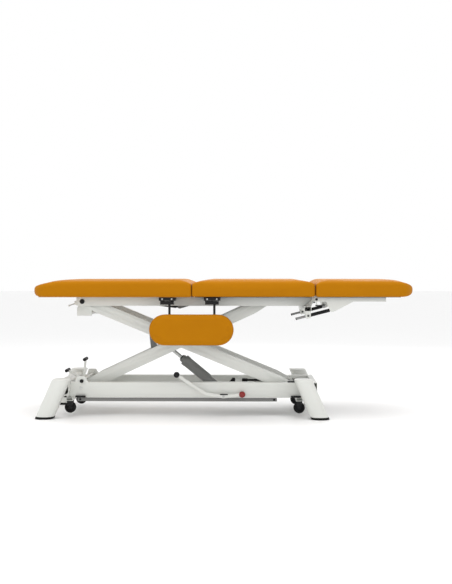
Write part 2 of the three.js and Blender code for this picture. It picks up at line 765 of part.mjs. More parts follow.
function jointFoamOutline(hinge, maxAngle, bottom) {
  const slack = 0.5;
  return polygon([
    [bevel(hinge, maxAngle, -1, bottom) + slack, bottom],
    [bevel(hinge, maxAngle, 1, bottom) - slack, bottom],
    [bevel(hinge, maxAngle, 1, couchHeight) - slack, couchHeight],
    [bevel(hinge, maxAngle, -1, couchHeight) + slack, couchHeight],
  ]);
}

const acrossCushion = [-cushionHalfWidth, cushionHalfWidth];
addNode('backrest_cushion', plate(backCushionOutline(), ...acrossCushion), mustard);
addNode('seat_cushion', plate(seatCushionOutline(), ...acrossCushion), mustard);
addNode('leg_section_cushion', plate(legCushionOutline(), ...acrossCushion), mustard);
const backFoam = jointFoamOutline(backHinge, backrestMaxAngle, backCushionBottom);
addNode('back_joint_foam', plate(backFoam, ...acrossCushion), mustard);
const legFoam = jointFoamOutline(legHinge, legMaxAngle, backCushionBottom);
addNode('leg_joint_foam', plate(legFoam, ...acrossCushion), mustard);

// Backrest board with hinge knuckles and the lug of the gas spring
const boardLeft = leftEnd + 40;
const boardRight = bevel(backHinge, backrestMaxAngle, -1, cushionBottom) - 4;
const boardReach = cushionHalfWidth - 24;
const boardTop = backCushionBottom - gap;
const board = block(boardLeft, boardRight, -boardReach, boardReach, cushionBottom, boardTop);
const knuckleSpans = backKnuckleOffsets.map((y) => {
  const inward = y < 0 ? y + lugThickness + 1 : y - lugThickness - 1;
  return [inward, inward + lugThickness];
});
const boardKnuckles = knuckleSpans.map(([y0, y1]) => {
  const strap = polygon([
    [boardRight - 60, cushionBottom + 1],
    [boardRight - 40, backHinge.z - 2],
    [backHinge.x, backHinge.z - hingeRadius],
    [backHinge.x, backHinge.z + hingeRadius],
    [boardRight, cushionBottom + 1],
  ]);
  return plate(strap, y0, y1).add(shaft(backHinge, y0, y1, hingeRadius));
});
const gasTopEars = gasEarSpans.map(([y0, y1]) => {
  const ear = polygon([
    [gasUpper.x - 24, cushionBottom + 1],
    [gasUpper.x - 9, gasUpper.z - 9],
    [gasUpper.x + 9, gasUpper.z - 9],
    [gasUpper.x + 24, cushionBottom + 1],
  ]);
  return plate(ear, y0, y1);
});
addNode('backrest_board', join([board, ...boardKnuckles, ...gasTopEars]), wood);

// Gas spring
const gasAngle = angleTo(gasLower, gasUpper);
const gasSpan = distance(gasLower, gasUpper);
const gasBodyLength = 196;
const gasBoreRadius = gasRodRadius + 0.8;
const gasProfile = [
  [0, 14],
  [gasBodyRadius, 14],
  [gasBodyRadius, gasBodyLength],
  [gasBoreRadius, gasBodyLength],
  [gasBoreRadius, 30],
  [0, 30],
];
const gasEye = shaft(gasLower, gasOffset - 7, gasOffset + 7, 8);
const gasEyeBore = shaft(gasLower, gasOffset - 12, gasOffset + 12, 4 + pinClearance, 12);
const gasTube = turned(gasLower, gasAngle, gasOffset, gasProfile, 12);
const gasNeckEnd = along(gasLower, gasAngle, 16);
const gasNeck = rod([gasLower.x, gasOffset, gasLower.z], [gasNeckEnd.x, gasOffset, gasNeckEnd.z], 7);
addNode('gas_spring_body', join([gasTube, gasNeck, gasEye]).subtract(gasEyeBore), black);
const gasRodStart = along(gasLower, gasAngle, 60);
const gasRodTip = along(gasLower, gasAngle, gasSpan - 4);
const gasRodEnds = [gasRodStart, gasRodTip].map((p) => [p.x, gasOffset, p.z]);
const gasRod = rod(...gasRodEnds, gasRodRadius, 12);
addNode('gas_spring_rod', gasRod.add(shaft(gasUpper, gasOffset - 6, gasOffset + 6, 7)), steel);

// Leg section frame: two side bars, hinge discs, gussets and two cross bars
const legBar = { inner: lockOffset - 11, outer: lockOffset + 16, z0: topRailTop - 22, z1: topRailTop };
const legBarRight = rightEnd - 144;
const legPieces = [];
for (const [, side] of sides) {
  const barSpan = span(side, legBar.inner, legBar.outer);
  legPieces.push(block(legHinge.x, legBarRight, ...barSpan, legBar.z0, legBar.z1));
  const strap = [railOuter + 13 + gap, legBar.inner + 1];
  const strapOutline = polygon([
    [legHinge.x, legHinge.z - hingeRadius],
    [legHinge.x + 60, legBar.z0],
    [legHinge.x + 60, legBar.z1],
    [legHinge.x, legHinge.z + hingeRadius],
  ]);
  legPieces.push(plate(strapOutline, ...span(side, ...strap)));
  legPieces.push(shaft(legHinge, ...span(side, ...strap), hingeRadius));
  const gusset = polygon([
    [lockEye.x - 13, lockEye.z + 2],
    [lockEye.x - 4, lockEye.z - 12],
    [lockEye.x + 10, lockEye.z - 10],
    [lockEye.x + 110, legBar.z0 + 1],
    [lockEye.x - 28, legBar.z0 + 1],
  ]);
  legPieces.push(plate(gusset, ...span(side, lockOffset + 11, lockOffset + 16)));
}
for (const x of [legHinge.x + 130, legBarRight - 30]) {
  legPieces.push(block(x, x + 25, -legBar.inner - 1, legBar.inner + 1, legBar.z1 - 12, legBar.z1));
}
addNode('leg_section_frame', join(legPieces), white);

// Lock struts: a rod that slides through a pivoting block
const lockAngle = angleTo(lockPivot, lockEye);
const lockSpan = distance(lockPivot, lockEye);
for (const [name, side] of sides) {
  const y = side * lockOffset;
  const corners = [[-11, -13], [11, -13], [11, 13], [-11, 13]];
  const outline = polygon(corners.map(([s, n]) => {
    const p = along(lockPivot, lockAngle, s, n);
    return [p.x, p.z];
  }));
  const bore0 = along(lockPivot, lockAngle, -20);
  const bore1 = along(lockPivot, lockAngle, 16);
  const bore = rod([bore0.x, y, bore0.z], [bore1.x, y, bore1.z], lockRodRadius + pinClearance, 16);
  addNode(`lock_housing_${name}`, plate(outline, y - 11.5, y + 11.5).subtract(bore), white);
}
for (const [name, side] of sides) {
  const y = side * lockOffset;
  const tail = along(lockPivot, lockAngle, -62);
  const collar = along(lockPivot, lockAngle, 12);
  const tip = along(lockPivot, lockAngle, lockSpan - 4);
  const slider = rod([tail.x, y, tail.z], [tip.x, y, tip.z], lockRodRadius, 12);
  const sleeve = rod([collar.x, y, collar.z], [tip.x, y, tip.z], lockSleeveRadius, 18);
  const eye = shaft(lockEye, y - 9, y + 9, lockSleeveRadius);
  addNode(`lock_rod_${name}`, join([slider, sleeve, eye]), black);
}

// ---- Wheel lift and casters

function polyBar(points, half, y0, y1) {
  const pieces = [];
  for (let i = 0; i + 1 < points.length; i += 1) {
    const angle = angleTo(points[i], points[i + 1]);
    const length = distance(points[i], points[i + 1]);
    const corners = [[0, -half], [length, -half], [length, half], [0, half]];
    const outline = polygon(corners.map(([s, n]) => {
      const p = along(points[i], angle, s, n);
      return [p.x, p.z];
    }));
    pieces.push(plate(outline, y0, y1));
  }
  for (const point of points) {
    pieces.push(shaft(point, y0, y1, half, 16));
  }
  return join(pieces);
}

function wheelFrame(pivot, casterX) {
  const tubeZ = wheelTubeBottom + wheelTubeHeight / 2;
  const half = wheelTubeLength / 2;
  const tubeTop = wheelTubeBottom + wheelTubeHeight;
  const tube = hollow(casterX - half, casterX + half, wheelTubeBottom, tubeTop, 2.5);
  const reach = casterOffset + 30;
  const spine = polyBar([pivot, { x: casterX, z: tubeZ }], wheelTubeHeight / 2, -14, 12);
  return join([plate(tube, -reach, reach), spine, shaft(pivot, -shaftReach, shaftReach, shaftRadius)]);
}

addNode('wheel_frame_left', wheelFrame(leftWheelPivot, leftCaster), white);
addNode('wheel_frame_right', wheelFrame(rightWheelPivot, rightCaster), white);

const casters = [
  ['front_left', leftCaster, -1],
  ['rear_left', leftCaster, 1],
  ['front_right', rightCaster, -1],
  ['rear_right', rightCaster, 1],
];
const axleRadius = 4;
const forkThickness = 3;
for (const [name, x, side] of casters) {
  const y = side * casterOffset;
  const cheekInner = wheelWidth / 2 + 0.6;
  const centre = { x, z: wheelCentre };
  const crownTop = wheelTubeBottom - gap;
  const cheekOuter = cheekInner + forkThickness;
  const crown = block(x - 16, x + 16, y - cheekOuter, y + cheekOuter, crownTop - 4.5, crownTop);
  const cheekOutline = polygon([
    [x - 9, wheelCentre - 9],
    [x + 9, wheelCentre - 9],
    [x + 16, crownTop - 4],
    [x - 16, crownTop - 4],
  ]);
  const cheeks = [-1, 1].map((end) => {
    const [c0, c1] = span(end, cheekInner, cheekOuter);
    return plate(cheekOutline, y + c0, y + c1);
  });
  const axle = shaft(centre, y - cheekInner - 1, y + cheekInner + 1, axleRadius, 12);
  addNode(`caster_fork_${name}`, join([crown, ...cheeks, axle]), steel);
  const disc = shaft(centre, y - wheelWidth / 2, y + wheelWidth / 2, wheelRadius, 24);
  const hub = shaft(centre, y - wheelWidth, y + wheelWidth, axleRadius + pinClearance, 12);
  addNode(`caster_wheel_${name}`, disc.subtract(hub), grey);
}

const linkY = -railOuter + 25;
const linkZ = wheelTubeBottom + 4;
const linkLeft = leftWheelPivot.x - 150;
const linkRight = rightWheelPivot.x + 156;
const linkHalf = { y: 4, z: 9 };
const linkSpan = [linkY - linkHalf.y, linkY + linkHalf.y];
const linkBody = block(linkLeft, linkRight, ...linkSpan, linkZ - linkHalf.z, linkZ + linkHalf.z);
addNode('wheel_link_bar', linkBody, grey);

const hubSpan = [-innerArmOuter - 32, -innerArmOuter - 10];
const padRods = [[-83, 50], [10, 108]].map(([dx, dz]) => {
  const end = { x: pedalPivot.x + dx, z: pedalPivot.z + dz };
  const y = (hubSpan[0] + hubSpan[1]) / 2;
  const spoke = rod([pedalPivot.x, y, pedalPivot.z], [end.x, y, end.z], 6, 12);
  return spoke.add(shaft(end, y - 38, y + 38, 6, 12));
});
const pedalReach = railOuter + 5;
const pedalShaft = shaft(pedalPivot, -pedalReach, pedalReach, pedalShaftRadius, 12);
const pedalHub = shaft(pedalPivot, ...hubSpan, 11);
addNode('wheel_pedal', join([pedalShaft, pedalHub, ...padRods]), white);

// ---- Pump pedal

const pumpOuter = -railOuter - pumpPedalOffset;
const pumpPath = [
  { x: pumpPivot.x - 239, z: pumpPivot.z + 111 },
  { x: pumpPivot.x - 90, z: pumpPivot.z + 14 },
  pumpPivot,
  { x: pumpPivot.x + 95, z: pumpPivot.z + 11 },
];
const pumpHalf = pumpPedalThickness / 2;
const pumpBar = polyBar(pumpPath, 8, pumpOuter - pumpHalf, pumpOuter + pumpHalf);
const pumpShaft = shaft(pumpPivot, pumpOuter, -eyeHalfWidth - 6.6, pumpShaftRadius, 12);
addNode('pump_pedal', pumpBar.add(pumpShaft), white);

export default model;
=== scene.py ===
import json
from math import cos, pi, radians, sin, sqrt

import bmesh
import bpy
from mathutils import Matrix, Vector


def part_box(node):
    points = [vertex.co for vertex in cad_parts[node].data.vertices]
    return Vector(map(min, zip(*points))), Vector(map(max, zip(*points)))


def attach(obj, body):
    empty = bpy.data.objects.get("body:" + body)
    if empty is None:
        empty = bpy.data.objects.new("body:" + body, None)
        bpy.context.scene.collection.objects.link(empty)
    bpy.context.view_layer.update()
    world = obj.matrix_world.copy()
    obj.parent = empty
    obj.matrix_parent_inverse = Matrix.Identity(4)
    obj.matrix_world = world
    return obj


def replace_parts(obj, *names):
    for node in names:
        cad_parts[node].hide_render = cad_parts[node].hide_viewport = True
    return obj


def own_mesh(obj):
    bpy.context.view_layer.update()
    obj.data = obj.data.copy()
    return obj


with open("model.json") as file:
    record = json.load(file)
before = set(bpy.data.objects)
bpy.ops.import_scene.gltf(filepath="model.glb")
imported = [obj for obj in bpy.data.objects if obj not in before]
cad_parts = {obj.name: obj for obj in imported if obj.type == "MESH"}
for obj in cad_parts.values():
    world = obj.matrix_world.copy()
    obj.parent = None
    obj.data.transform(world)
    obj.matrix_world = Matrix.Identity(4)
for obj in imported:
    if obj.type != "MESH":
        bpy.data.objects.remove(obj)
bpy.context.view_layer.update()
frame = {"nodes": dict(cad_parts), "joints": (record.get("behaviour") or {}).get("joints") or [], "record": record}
scene = bpy.context.scene
nodes = frame["nodes"]
bodyOf = {node: body for body, members in frame["record"]["behaviour"]["bodies"].items() for node in members}
slotOf = {part["node"]: part["material_slot"] for part in frame["record"]["subparts"]}
pivot = {joint["name"]: Vector(joint["pos_m"]) for joint in frame["joints"] if "pos_m" in joint}
travel = {joint["name"]: Vector(joint["axis"]) for joint in frame["joints"]}
print("frame loaded:", len(nodes), "nodes")

# camera

camera = {"place": (0.1069, -5.3, 0.749), "look": (-0.018, 1.0, -0.022), "lens": 61.64}
cameraData = bpy.data.cameras.new("couchCamera")
cameraData.lens = camera["lens"]
cameraObject = bpy.data.objects.new("couchCamera", cameraData)
cameraObject.location = camera["place"]
cameraObject.rotation_euler = Vector(camera["look"]).to_track_quat("-Z", "Y").to_euler()
scene.collection.objects.link(cameraObject)
scene.camera = cameraObject

# shader groups shared by several finishes


def newGroup(name, inputs, outputs):
    group = bpy.data.node_groups.new(name, "ShaderNodeTree")
    for label, kind, value in inputs:
        socket = group.interface.new_socket(name=label, in_out="INPUT", socket_type="NodeSocket" + kind)
        socket.default_value = value
    for label, kind in outputs:
        group.interface.new_socket(name=label, in_out="OUTPUT", socket_type="NodeSocket" + kind)
    return group, group.nodes.new("NodeGroupInput"), group.nodes.new("NodeGroupOutput")


def feed(tree, node, values):
    # a plain value is set on its socket and an output is linked to it
    for label, value in values.items():
        if isinstance(value, (int, float, tuple)):
            node.inputs[label].default_value = value
        else:
            tree.links.new(value, node.inputs[label])
    return node


def addNoise(tree, vector, scale, detail=3.0, rough=0.5):
    noise = tree.nodes.new("ShaderNodeTexNoise")
    feed(tree, noise, {"Detail": detail, "Roughness": rough, "Vector": vector, "Scale": scale})
    return noise.outputs["Fac"]


def addMath(tree, operation, a, b):
    node = tree.nodes.new("ShaderNodeMath")
    node.operation = operation
    return feed(tree, node, {0: a, 1: b}).outputs[0]


def addMix(tree, factor, a, b, blend="MIX"):
    node = tree.nodes.new("ShaderNodeMix")
    node.data_type = "RGBA"
    node.blend_type = blend
    return feed(tree, node, {0: factor, 6: a, 7: b}).outputs[2]  # factor, A and B of a colour mix


def makeMottleGroup():
    # broad tone drift plus fine roughness drift, so that no panel is one flat colour
    group, source, target = newGroup(
        "mottle",
        [
            ("Colour", "Color", (0.8, 0.8, 0.8, 1)),
            ("Dark Colour", "Color", (0.6, 0.6, 0.6, 1)),
            ("Amount", "Float", 0.3),
            ("Scale", "Float", 6.0),
            ("Roughness", "Float", 0.4),
            ("Spread", "Float", 0.1),
        ],
        [("Colour", "Color"), ("Roughness", "Float")],
    )
    place = group.nodes.new("ShaderNodeTexCoord").outputs["Object"]
    broad = addNoise(group, place, source.outputs["Scale"], 4.0)
    fine = addNoise(group, place, 85.0, 2.0)
    amount = addMath(group, "MULTIPLY", broad, source.outputs["Amount"])
    tone = addMix(group, amount, source.outputs["Colour"], source.outputs["Dark Colour"])
    group.links.new(tone, target.inputs["Colour"])
    drift = addMath(group, "MULTIPLY", addMath(group, "SUBTRACT", fine, 0.5), source.outputs["Spread"])
    group.links.new(addMath(group, "ADD", drift, source.outputs["Roughness"]), target.inputs["Roughness"])
    return group


def makeGrainGroup():
    # pebbled grain with soft creases between the pebbles
    group, source, target = newGroup(
        "coverGrain",
        [("Pebble Scale", "Float", 700.0), ("Crease Scale", "Float", 18.0)],
        [("Height", "Float"), ("Crease", "Float")],
    )
    place = group.nodes.new("ShaderNodeTexCoord").outputs["Object"]
    cells = group.nodes.new("ShaderNodeTexVoronoi")
    cells.feature = "F1"
    feed(group, cells, {"Vector": place, "Scale": source.outputs["Pebble Scale"]})
    crease = addNoise(group, place, source.outputs["Crease Scale"], 6.0, 0.6)
    pebble = addMath(group, "MULTIPLY", cells.outputs["Distance"], -0.6)
    height = addMath(group, "ADD", pebble, addMath(group, "MULTIPLY", crease, 0.8))
    group.links.new(height, target.inputs["Height"])
    group.links.new(crease, target.inputs["Crease"])
    return group


def makeOrangePeelGroup():
    # the faint ripple of a powder coat
    group, source, target = newGroup("orangePeel", [("Scale", "Float", 320.0)], [("Height", "Float")])
    place = group.nodes.new("ShaderNodeTexCoord").outputs["Object"]
    group.links.new(addNoise(group, place, source.outputs["Scale"], 1.5), target.inputs["Height"])
    return group


def makeBrushGroup():
    # long fine scratches along X
    stretch = ("Stretch", "Vector", (12.0, 900.0, 900.0))
    group, source, target = newGroup("brushed", [stretch], [("Height", "Float")])
    place = group.nodes.new("ShaderNodeTexCoord").outputs["Object"]
    mapping = group.nodes.new("ShaderNodeMapping")
    feed(group, mapping, {"Vector": place, "Scale": source.outputs["Stretch"]})
    group.links.new(addNoise(group, mapping.outputs["Vector"], 1.0, 3.0), target.inputs["Height"])
    return group


mottleGroup = makeMottleGroup()
grainGroup = makeGrainGroup()
orangePeelGroup = makeOrangePeelGroup()
brushGroup = makeBrushGroup()


def placeGroup(tree, group, values):
    node = tree.nodes.new("ShaderNodeGroup")
    node.node_tree = group
    return feed(tree, node, values)


def startFinish(name, look):
    material = bpy.data.materials.new(name)
    material.use_nodes = True
    tree = material.node_tree
    shader = tree.nodes["Principled BSDF"]
    metallic, specular = look.get("metallic", 0.0), look.get("specular", 0.5)
    feed(tree, shader, {"Metallic": metallic, "Specular IOR Level": specular})
    mottle = placeGroup(
        tree,
        mottleGroup,
        {
            "Colour": (*look["colour"], 1),
            "Dark Colour": (*look["dark"], 1),
            "Amount": look.get("amount", 0.5),
            "Scale": look.get("scale", 5.0),
            "Roughness": look["roughness"],
            "Spread": look.get("spread", 0.12),
        },
    )
    tree.links.new(mottle.outputs["Roughness"], shader.inputs["Roughness"])
    return material, tree, shader, mottle


def addBump(tree, shader, height, strength, distance):
    bump = tree.nodes.new("ShaderNodeBump")
    feed(tree, bump, {"Strength": strength, "Distance": distance, "Height": height})
    tree.links.new(bump.outputs["Normal"], shader.inputs["Normal"])


def makeEnamel(name, look):
    material, tree, shader, mottle = startFinish(name, look)
    tree.links.new(mottle.outputs["Colour"], shader.inputs["Base Color"])
    peel = placeGroup(tree, orangePeelGroup, {"Scale": look.get("peel", 320.0)})
    addBump(tree, shader, peel.outputs["Height"], look.get("bump", 0.12), 0.0004)
    return material


def makeSteel(name, look):
    material, tree, shader, mottle = startFinish(name, look)
    tree.links.new(mottle.outputs["Colour"], shader.inputs["Base Color"])
    brush = placeGroup(tree, brushGroup, {})
    addBump(tree, shader, brush.outputs["Height"], 0.15, 0.0002)
    return material


def makeCover(name, look):
    material, tree, shader, mottle = startFinish(name, look)
    feed(tree, shader, {"Sheen Weight": look["sheen"], "Sheen Roughness": 0.4})
    grain = placeGroup(tree, grainGroup, {"Pebble Scale": look["pebble"], "Crease Scale": look["crease"]})
    creaseTone = addMath(tree, "MULTIPLY", grain.outputs["Crease"], look["creaseTone"])
    tinted = addMix(tree, creaseTone, mottle.outputs["Colour"], (*look["dark"], 1))
    tree.links.new(tinted, shader.inputs["Base Color"])
    addBump(tree, shader, grain.outputs["Height"], look["bump"], 0.0006)
    return material


def makePlywood(name, look):
    material, tree, shader, mottle = startFinish(name, look)
    place = tree.nodes.new("ShaderNodeTexCoord").outputs["Object"]
    rings = tree.nodes.new("ShaderNodeTexWave")
    rings.wave_type = "BANDS"
    rings.bands_direction = "Y"
    waves = {"Scale": 14.0, "Distortion": 9.0, "Detail": 3.0, "Detail Scale": 0.6}
    feed(tree, rings, {**waves, "Vector": place})
    streak = addMath(tree, "MULTIPLY", rings.outputs["Fac"], 0.55)
    tinted = addMix(tree, streak, mottle.outputs["Colour"], (*look["dark"], 1))
    tree.links.new(tinted, shader.inputs["Base Color"])
    addBump(tree, shader, rings.outputs["Fac"], 0.15, 0.0003)
    return material


finish = {
    "white_enamel": makeEnamel("whiteEnamel", {
        "colour": (0.69, 0.70, 0.665), "dark": (0.60, 0.61, 0.58), "amount": 0.35, "roughness": 0.36,
    }),
    "white_plastic": makeEnamel("whitePlastic", {
        "colour": (0.74, 0.75, 0.73), "dark": (0.64, 0.65, 0.62), "roughness": 0.5, "peel": 700.0,
        "bump": 0.2,
    }),
    "grey_enamel": makeEnamel("greyEnamel", {
        "colour": (0.22, 0.222, 0.215), "dark": (0.15, 0.152, 0.145), "roughness": 0.42, "spread": 0.18,
    }),
    "black_enamel": makeEnamel("blackEnamel", {
        "colour": (0.008, 0.008, 0.009), "dark": (0.016, 0.016, 0.017), "roughness": 0.42, "spread": 0.2,
        "specular": 0.25,
    }),
    "black_plastic": makeEnamel("blackPlastic", {
        "colour": (0.006, 0.006, 0.007), "dark": (0.014, 0.014, 0.014), "roughness": 0.55, "peel": 900.0,
        "bump": 0.35, "specular": 0.22,
    }),
    "red_knob": makeEnamel("redKnob", {
        "colour": (0.27, 0.012, 0.010), "dark": (0.14, 0.006, 0.006), "roughness": 0.3, "peel": 900.0,
    }),
    "bright_steel": makeSteel("brightSteel", {
        "colour": (0.60, 0.61, 0.60), "dark": (0.42, 0.43, 0.42), "metallic": 1.0, "roughness": 0.28,
        "spread": 0.2,
    }),
    "roller_steel": makeSteel("rollerSteel", {
        "colour": (0.30, 0.30, 0.30), "dark": (0.20, 0.20, 0.20), "metallic": 1.0, "roughness": 0.4,
        "spread": 0.2,
    }),
    "mustard_cover": makeCover("mustardCover", {
        "colour": (0.47, 0.180, 0.0003), "dark": (0.38, 0.135, 0.0002), "amount": 0.45, "scale": 4.0,
        "roughness": 0.52, "specular": 0.07, "sheen": 0.03, "pebble": 620.0, "crease": 16.0,
        "creaseTone": 0.3, "bump": 0.5,
    }),
    # painted shade: the dark red-brown of the joint strips, standing in for the shade where the cushions meet
    "seam_thread": makeCover("jointShadeStrip", {
        "colour": (0.20, 0.055, 0.012), "dark": (0.11, 0.028, 0.006), "roughness": 0.8, "sheen": 0.2,
        "pebble": 1400.0, "crease": 60.0, "creaseTone": 0.5, "bump": 0.6,
    }),
    "plywood": makePlywood("plywood", {
        "colour": (0.42, 0.26, 0.12), "dark": (0.27, 0.15, 0.06), "roughness": 0.62,
    }),
    "rubber_foot": makeEnamel("footRubber", {
        "colour": (0.006, 0.006, 0.006), "dark": (0.014, 0.0135, 0.013), "roughness": 0.8, "peel": 500.0,
        "bump": 0.4, "specular": 0.2,
    }),
    "caster_tyre": makeEnamel("tyreRubber", {
        "colour": (0.005, 0.005, 0.0055), "dark": (0.013, 0.013, 0.0125), "roughness": 0.7, "peel": 500.0,
        "bump": 0.4, "specular": 0.2,
    }),
}
print("finishes:", len(finish))

# mesh helpers

mergeGap = 0.00002


def finishPiece(name, mesh, slotName, body, angle=35):
    bmesh.ops.recalc_face_normals(mesh, faces=mesh.faces)
    data = bpy.data.meshes.new(name)
    mesh.to_mesh(data)
    mesh.free()
    data.polygons.foreach_set("use_smooth", [True] * len(data.polygons))
    data.set_sharp_from_angle(angle=radians(angle))
    data.materials.clear()
    data.materials.append(finish[slotName])
    piece = bpy.data.objects.new(name, data)
    scene.collection.objects.link(piece)
    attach(piece, body)
    return piece


def turnTo(direction):
    return Vector(direction).normalized().to_track_quat("Z", "Y").to_matrix().to_4x4()


def bevelOff(mesh, geom, width, segments=2, affect="EDGES", clamp=False):
    bmesh.ops.bevel(
        mesh, geom=geom, offset=width, offset_type="OFFSET", segments=segments, profile=0.5,
        affect=affect, clamp_overlap=clamp, material=-1,
    )


def pullFaces(mesh, move):
    # extrudes every face by the move and gives back the moved vertices
    made = bmesh.ops.extrude_face_region(mesh, geom=list(mesh.faces))
    moved = [item for item in made["geom"] if isinstance(item, bmesh.types.BMVert)]
    bmesh.ops.translate(mesh, vec=move, verts=moved)
    return moved


def addRod(mesh, start, end, radius, edge=0.0006, segments=28):
    start, end = Vector(start), Vector(end)
    made = bmesh.ops.create_cone(
        mesh, cap_ends=True, segments=segments, radius1=radius, radius2=radius,
        depth=(end - start).length, matrix=Matrix.Translation((start + end) / 2) @ turnTo(end - start),
    )
    caps = [face for vert in made["verts"] for face in vert.link_faces if len(face.verts) > 4]
    bevelOff(mesh, list({ring for face in caps for ring in face.edges}), edge)


def addPin(mesh, centre, half, radius, edge=0.0006, segments=28):
    # a rod along Y with its middle at the centre
    reach = Vector((0, half, 0))
    addRod(mesh, centre - reach, centre + reach, radius, edge, segments)


def addBlock(mesh, low, high, edge=0.001, segments=2):
    low, high = Vector(low), Vector(high)
    made = bmesh.ops.create_cube(mesh, size=1.0)
    bmesh.ops.scale(mesh, vec=high - low, verts=made["verts"])
    bmesh.ops.translate(mesh, vec=(low + high) / 2, verts=made["verts"])
    edges = list({side for vert in made["verts"] for side in vert.link_edges})
    bevelOff(mesh, edges, edge, segments)


def addTurned(mesh, origin, direction, profile, segments=36):
    # the profile runs as (radius, height) along the direction
    place = Matrix.Translation(Vector(origin)) @ turnTo(direction)
    verts = [mesh.verts.new(place @ Vector((radius, 0, height))) for radius, height in profile]
    lines = [mesh.edges.new(pair) for pair in zip(verts, verts[1:])]
    bmesh.ops.spin(
        mesh, geom=verts + lines, cent=Vector(origin), axis=Vector(direction).normalized(),
        dvec=(0, 0, 0), angle=2 * pi, steps=segments, use_merge=True, use_duplicate=False,
    )
    bmesh.ops.remove_doubles(mesh, verts=mesh.verts, dist=mergeGap)


# frame pieces softened from the design's own solids

sharpAngle = radians(38)
flatAngle = radians(0.6)


def softenNode(node, width, slotName=None):
    mesh = bmesh.new()
    mesh.from_mesh(nodes[node].data)
    bmesh.ops.remove_doubles(mesh, verts=mesh.verts, dist=mergeGap)
    bmesh.ops.dissolve_limit(
        mesh, angle_limit=flatAngle, verts=mesh.verts, edges=mesh.edges, use_dissolve_boundaries=False
    )
    joined = [side for side in mesh.edges if len(side.link_faces) == 2]
    bevelOff(mesh, [side for side in joined if side.calc_face_angle(0) > sharpAngle], width, clamp=True)
    piece = finishPiece(node + "_soft", mesh, slotName or slotOf[node], bodyOf[node], 50)
    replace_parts(piece, node)


softWidths = {
    "end_beam_left": 0.0012, "end_beam_right": 0.0016, "outer_cross_tube": 0.0012, "cylinder_mount": 0.0009,
    "lift_horn": 0.001, "top_cross_middle": 0.0008, "top_cross_right": 0.001, "leg_section_frame": 0.0011,
    "wheel_frame_left": 0.001, "wheel_frame_right": 0.001, "armrest_bracket_left": 0.0025,
    "armrest_bracket_right": 0.0025, "backrest_board": 0.0009, "pump_pedal": 0.0012, "release_lever": 0.0004,
}
pairWidths = {
    "base_rail": 0.0016, "inner_arm": 0.0018, "outer_arm": 0.0018, "top_rail": 0.0013, "lock_housing": 0.0014,
}
for name, width in pairWidths.items():
    softWidths.update({name + "_front": width, name + "_rear": width})
for node, width in softWidths.items():
    softenNode(node, width)
print("softened frame pieces:", len(softWidths))

# legs and feet

legShape = {
    "half": 0.046, "corner": 0.040, "top": 0.200, "foot": 0.012, "crown": 0.007, "crownSteps": 4,
    "minInset": 0.0004, "lean": 0.441, "gap": 0.0003, "lip": 0.0022,
}


def roundedRing(mesh, halfX, halfY, height):
    # a rounded rectangle made by bevelling the corners of a flat square
    made = bmesh.ops.create_grid(mesh, x_segments=1, y_segments=1, size=1.0)
    bmesh.ops.scale(mesh, vec=(halfX, halfY, 1), verts=made["verts"])
    bmesh.ops.translate(mesh, vec=(0, 0, height), verts=made["verts"])
    bevelOff(mesh, made["verts"], legShape["corner"], 9, "VERTICES")


def leanTo(mesh, topX, centreY, slope):
    # shears the upright shape so that each height moves along X in step
    lean = Matrix.Identity(4)
    lean[0][2] = slope
    lean[0][3] = topX - slope * legShape["top"]
    lean[1][3] = centreY
    bmesh.ops.transform(mesh, matrix=lean, verts=mesh.verts)


def makeLeg(name, sideX):
    low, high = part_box("leg_" + name)
    footLow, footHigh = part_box("foot_" + name)
    halfX, gap, crown = legShape["half"], legShape["gap"], legShape["crown"]
    halfY = (footHigh.y - footLow.y) / 2
    topX = (high.x - halfX) if sideX < 0 else (low.x + halfX)
    lean = (topX, (footLow.y + footHigh.y) / 2, -legShape["lean"] * sideX)
    mesh = bmesh.new()
    roundedRing(mesh, halfX - gap, halfY - gap, legShape["foot"] + gap)
    rim = pullFaces(mesh, (0, 0, legShape["top"] - crown - legShape["foot"] - gap))
    cap = [face for face in mesh.faces if all(vert in rim for vert in face.verts)]
    turn = pi / 2 / legShape["crownSteps"]
    for step in range(legShape["crownSteps"]):
        inward = crown * (cos(step * turn) - cos((step + 1) * turn))
        upward = crown * (sin((step + 1) * turn) - sin(step * turn))
        thickness = max(inward, legShape["minInset"])
        bmesh.ops.inset_region(mesh, faces=cap, thickness=thickness, depth=0, use_even_offset=True)
        capVerts = list({vert for face in cap for vert in face.verts})
        bmesh.ops.translate(mesh, vec=(0, 0, upward), verts=capVerts)
    leanTo(mesh, *lean)
    leg = finishPiece("legCover_" + name, mesh, "white_enamel", "base", 55)
    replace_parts(leg, "leg_" + name)

    mesh = bmesh.new()
    roundedRing(mesh, halfX, halfY, 0.0)
    pullFaces(mesh, (0, 0, legShape["foot"]))
    flat = [side for side in mesh.edges if abs(side.verts[0].co.z - side.verts[1].co.z) < 1e-6]
    bevelOff(mesh, flat, legShape["lip"], 3)
    leanTo(mesh, *lean)
    foot = finishPiece("footPad_" + name, mesh, "rubber_foot", "base", 55)
    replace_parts(foot, "foot_" + name)


for name, sideX in (("front_left", -1), ("rear_left", -1), ("front_right", 1), ("rear_right", 1)):
    makeLeg(name, sideX)
print("legs and feet made")

# right leg stubs, which the leg covers leave out

stub = {"x": (0.054, 0.090), "z": (0.121, 0.166), "gap": 0.0003, "depth": 0.026, "edge": 0.0015}
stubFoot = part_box("base_rail_rear")[1].y + stub["gap"]
for name, side in (("front", -1), ("rear", 1)):
    x0, x1 = (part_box("leg_" + name + "_right")[0].x + x for x in stub["x"])
    y0, y1 = sorted((side * stubFoot, side * (stubFoot + stub["depth"])))
    mesh = bmesh.new()
    addBlock(mesh, (x0, y0, stub["z"][0]), (x1, y1, stub["z"][1]), stub["edge"])
    finishPiece("legStub_" + name, mesh, "white_enamel", "base")

# hydraulic cylinder

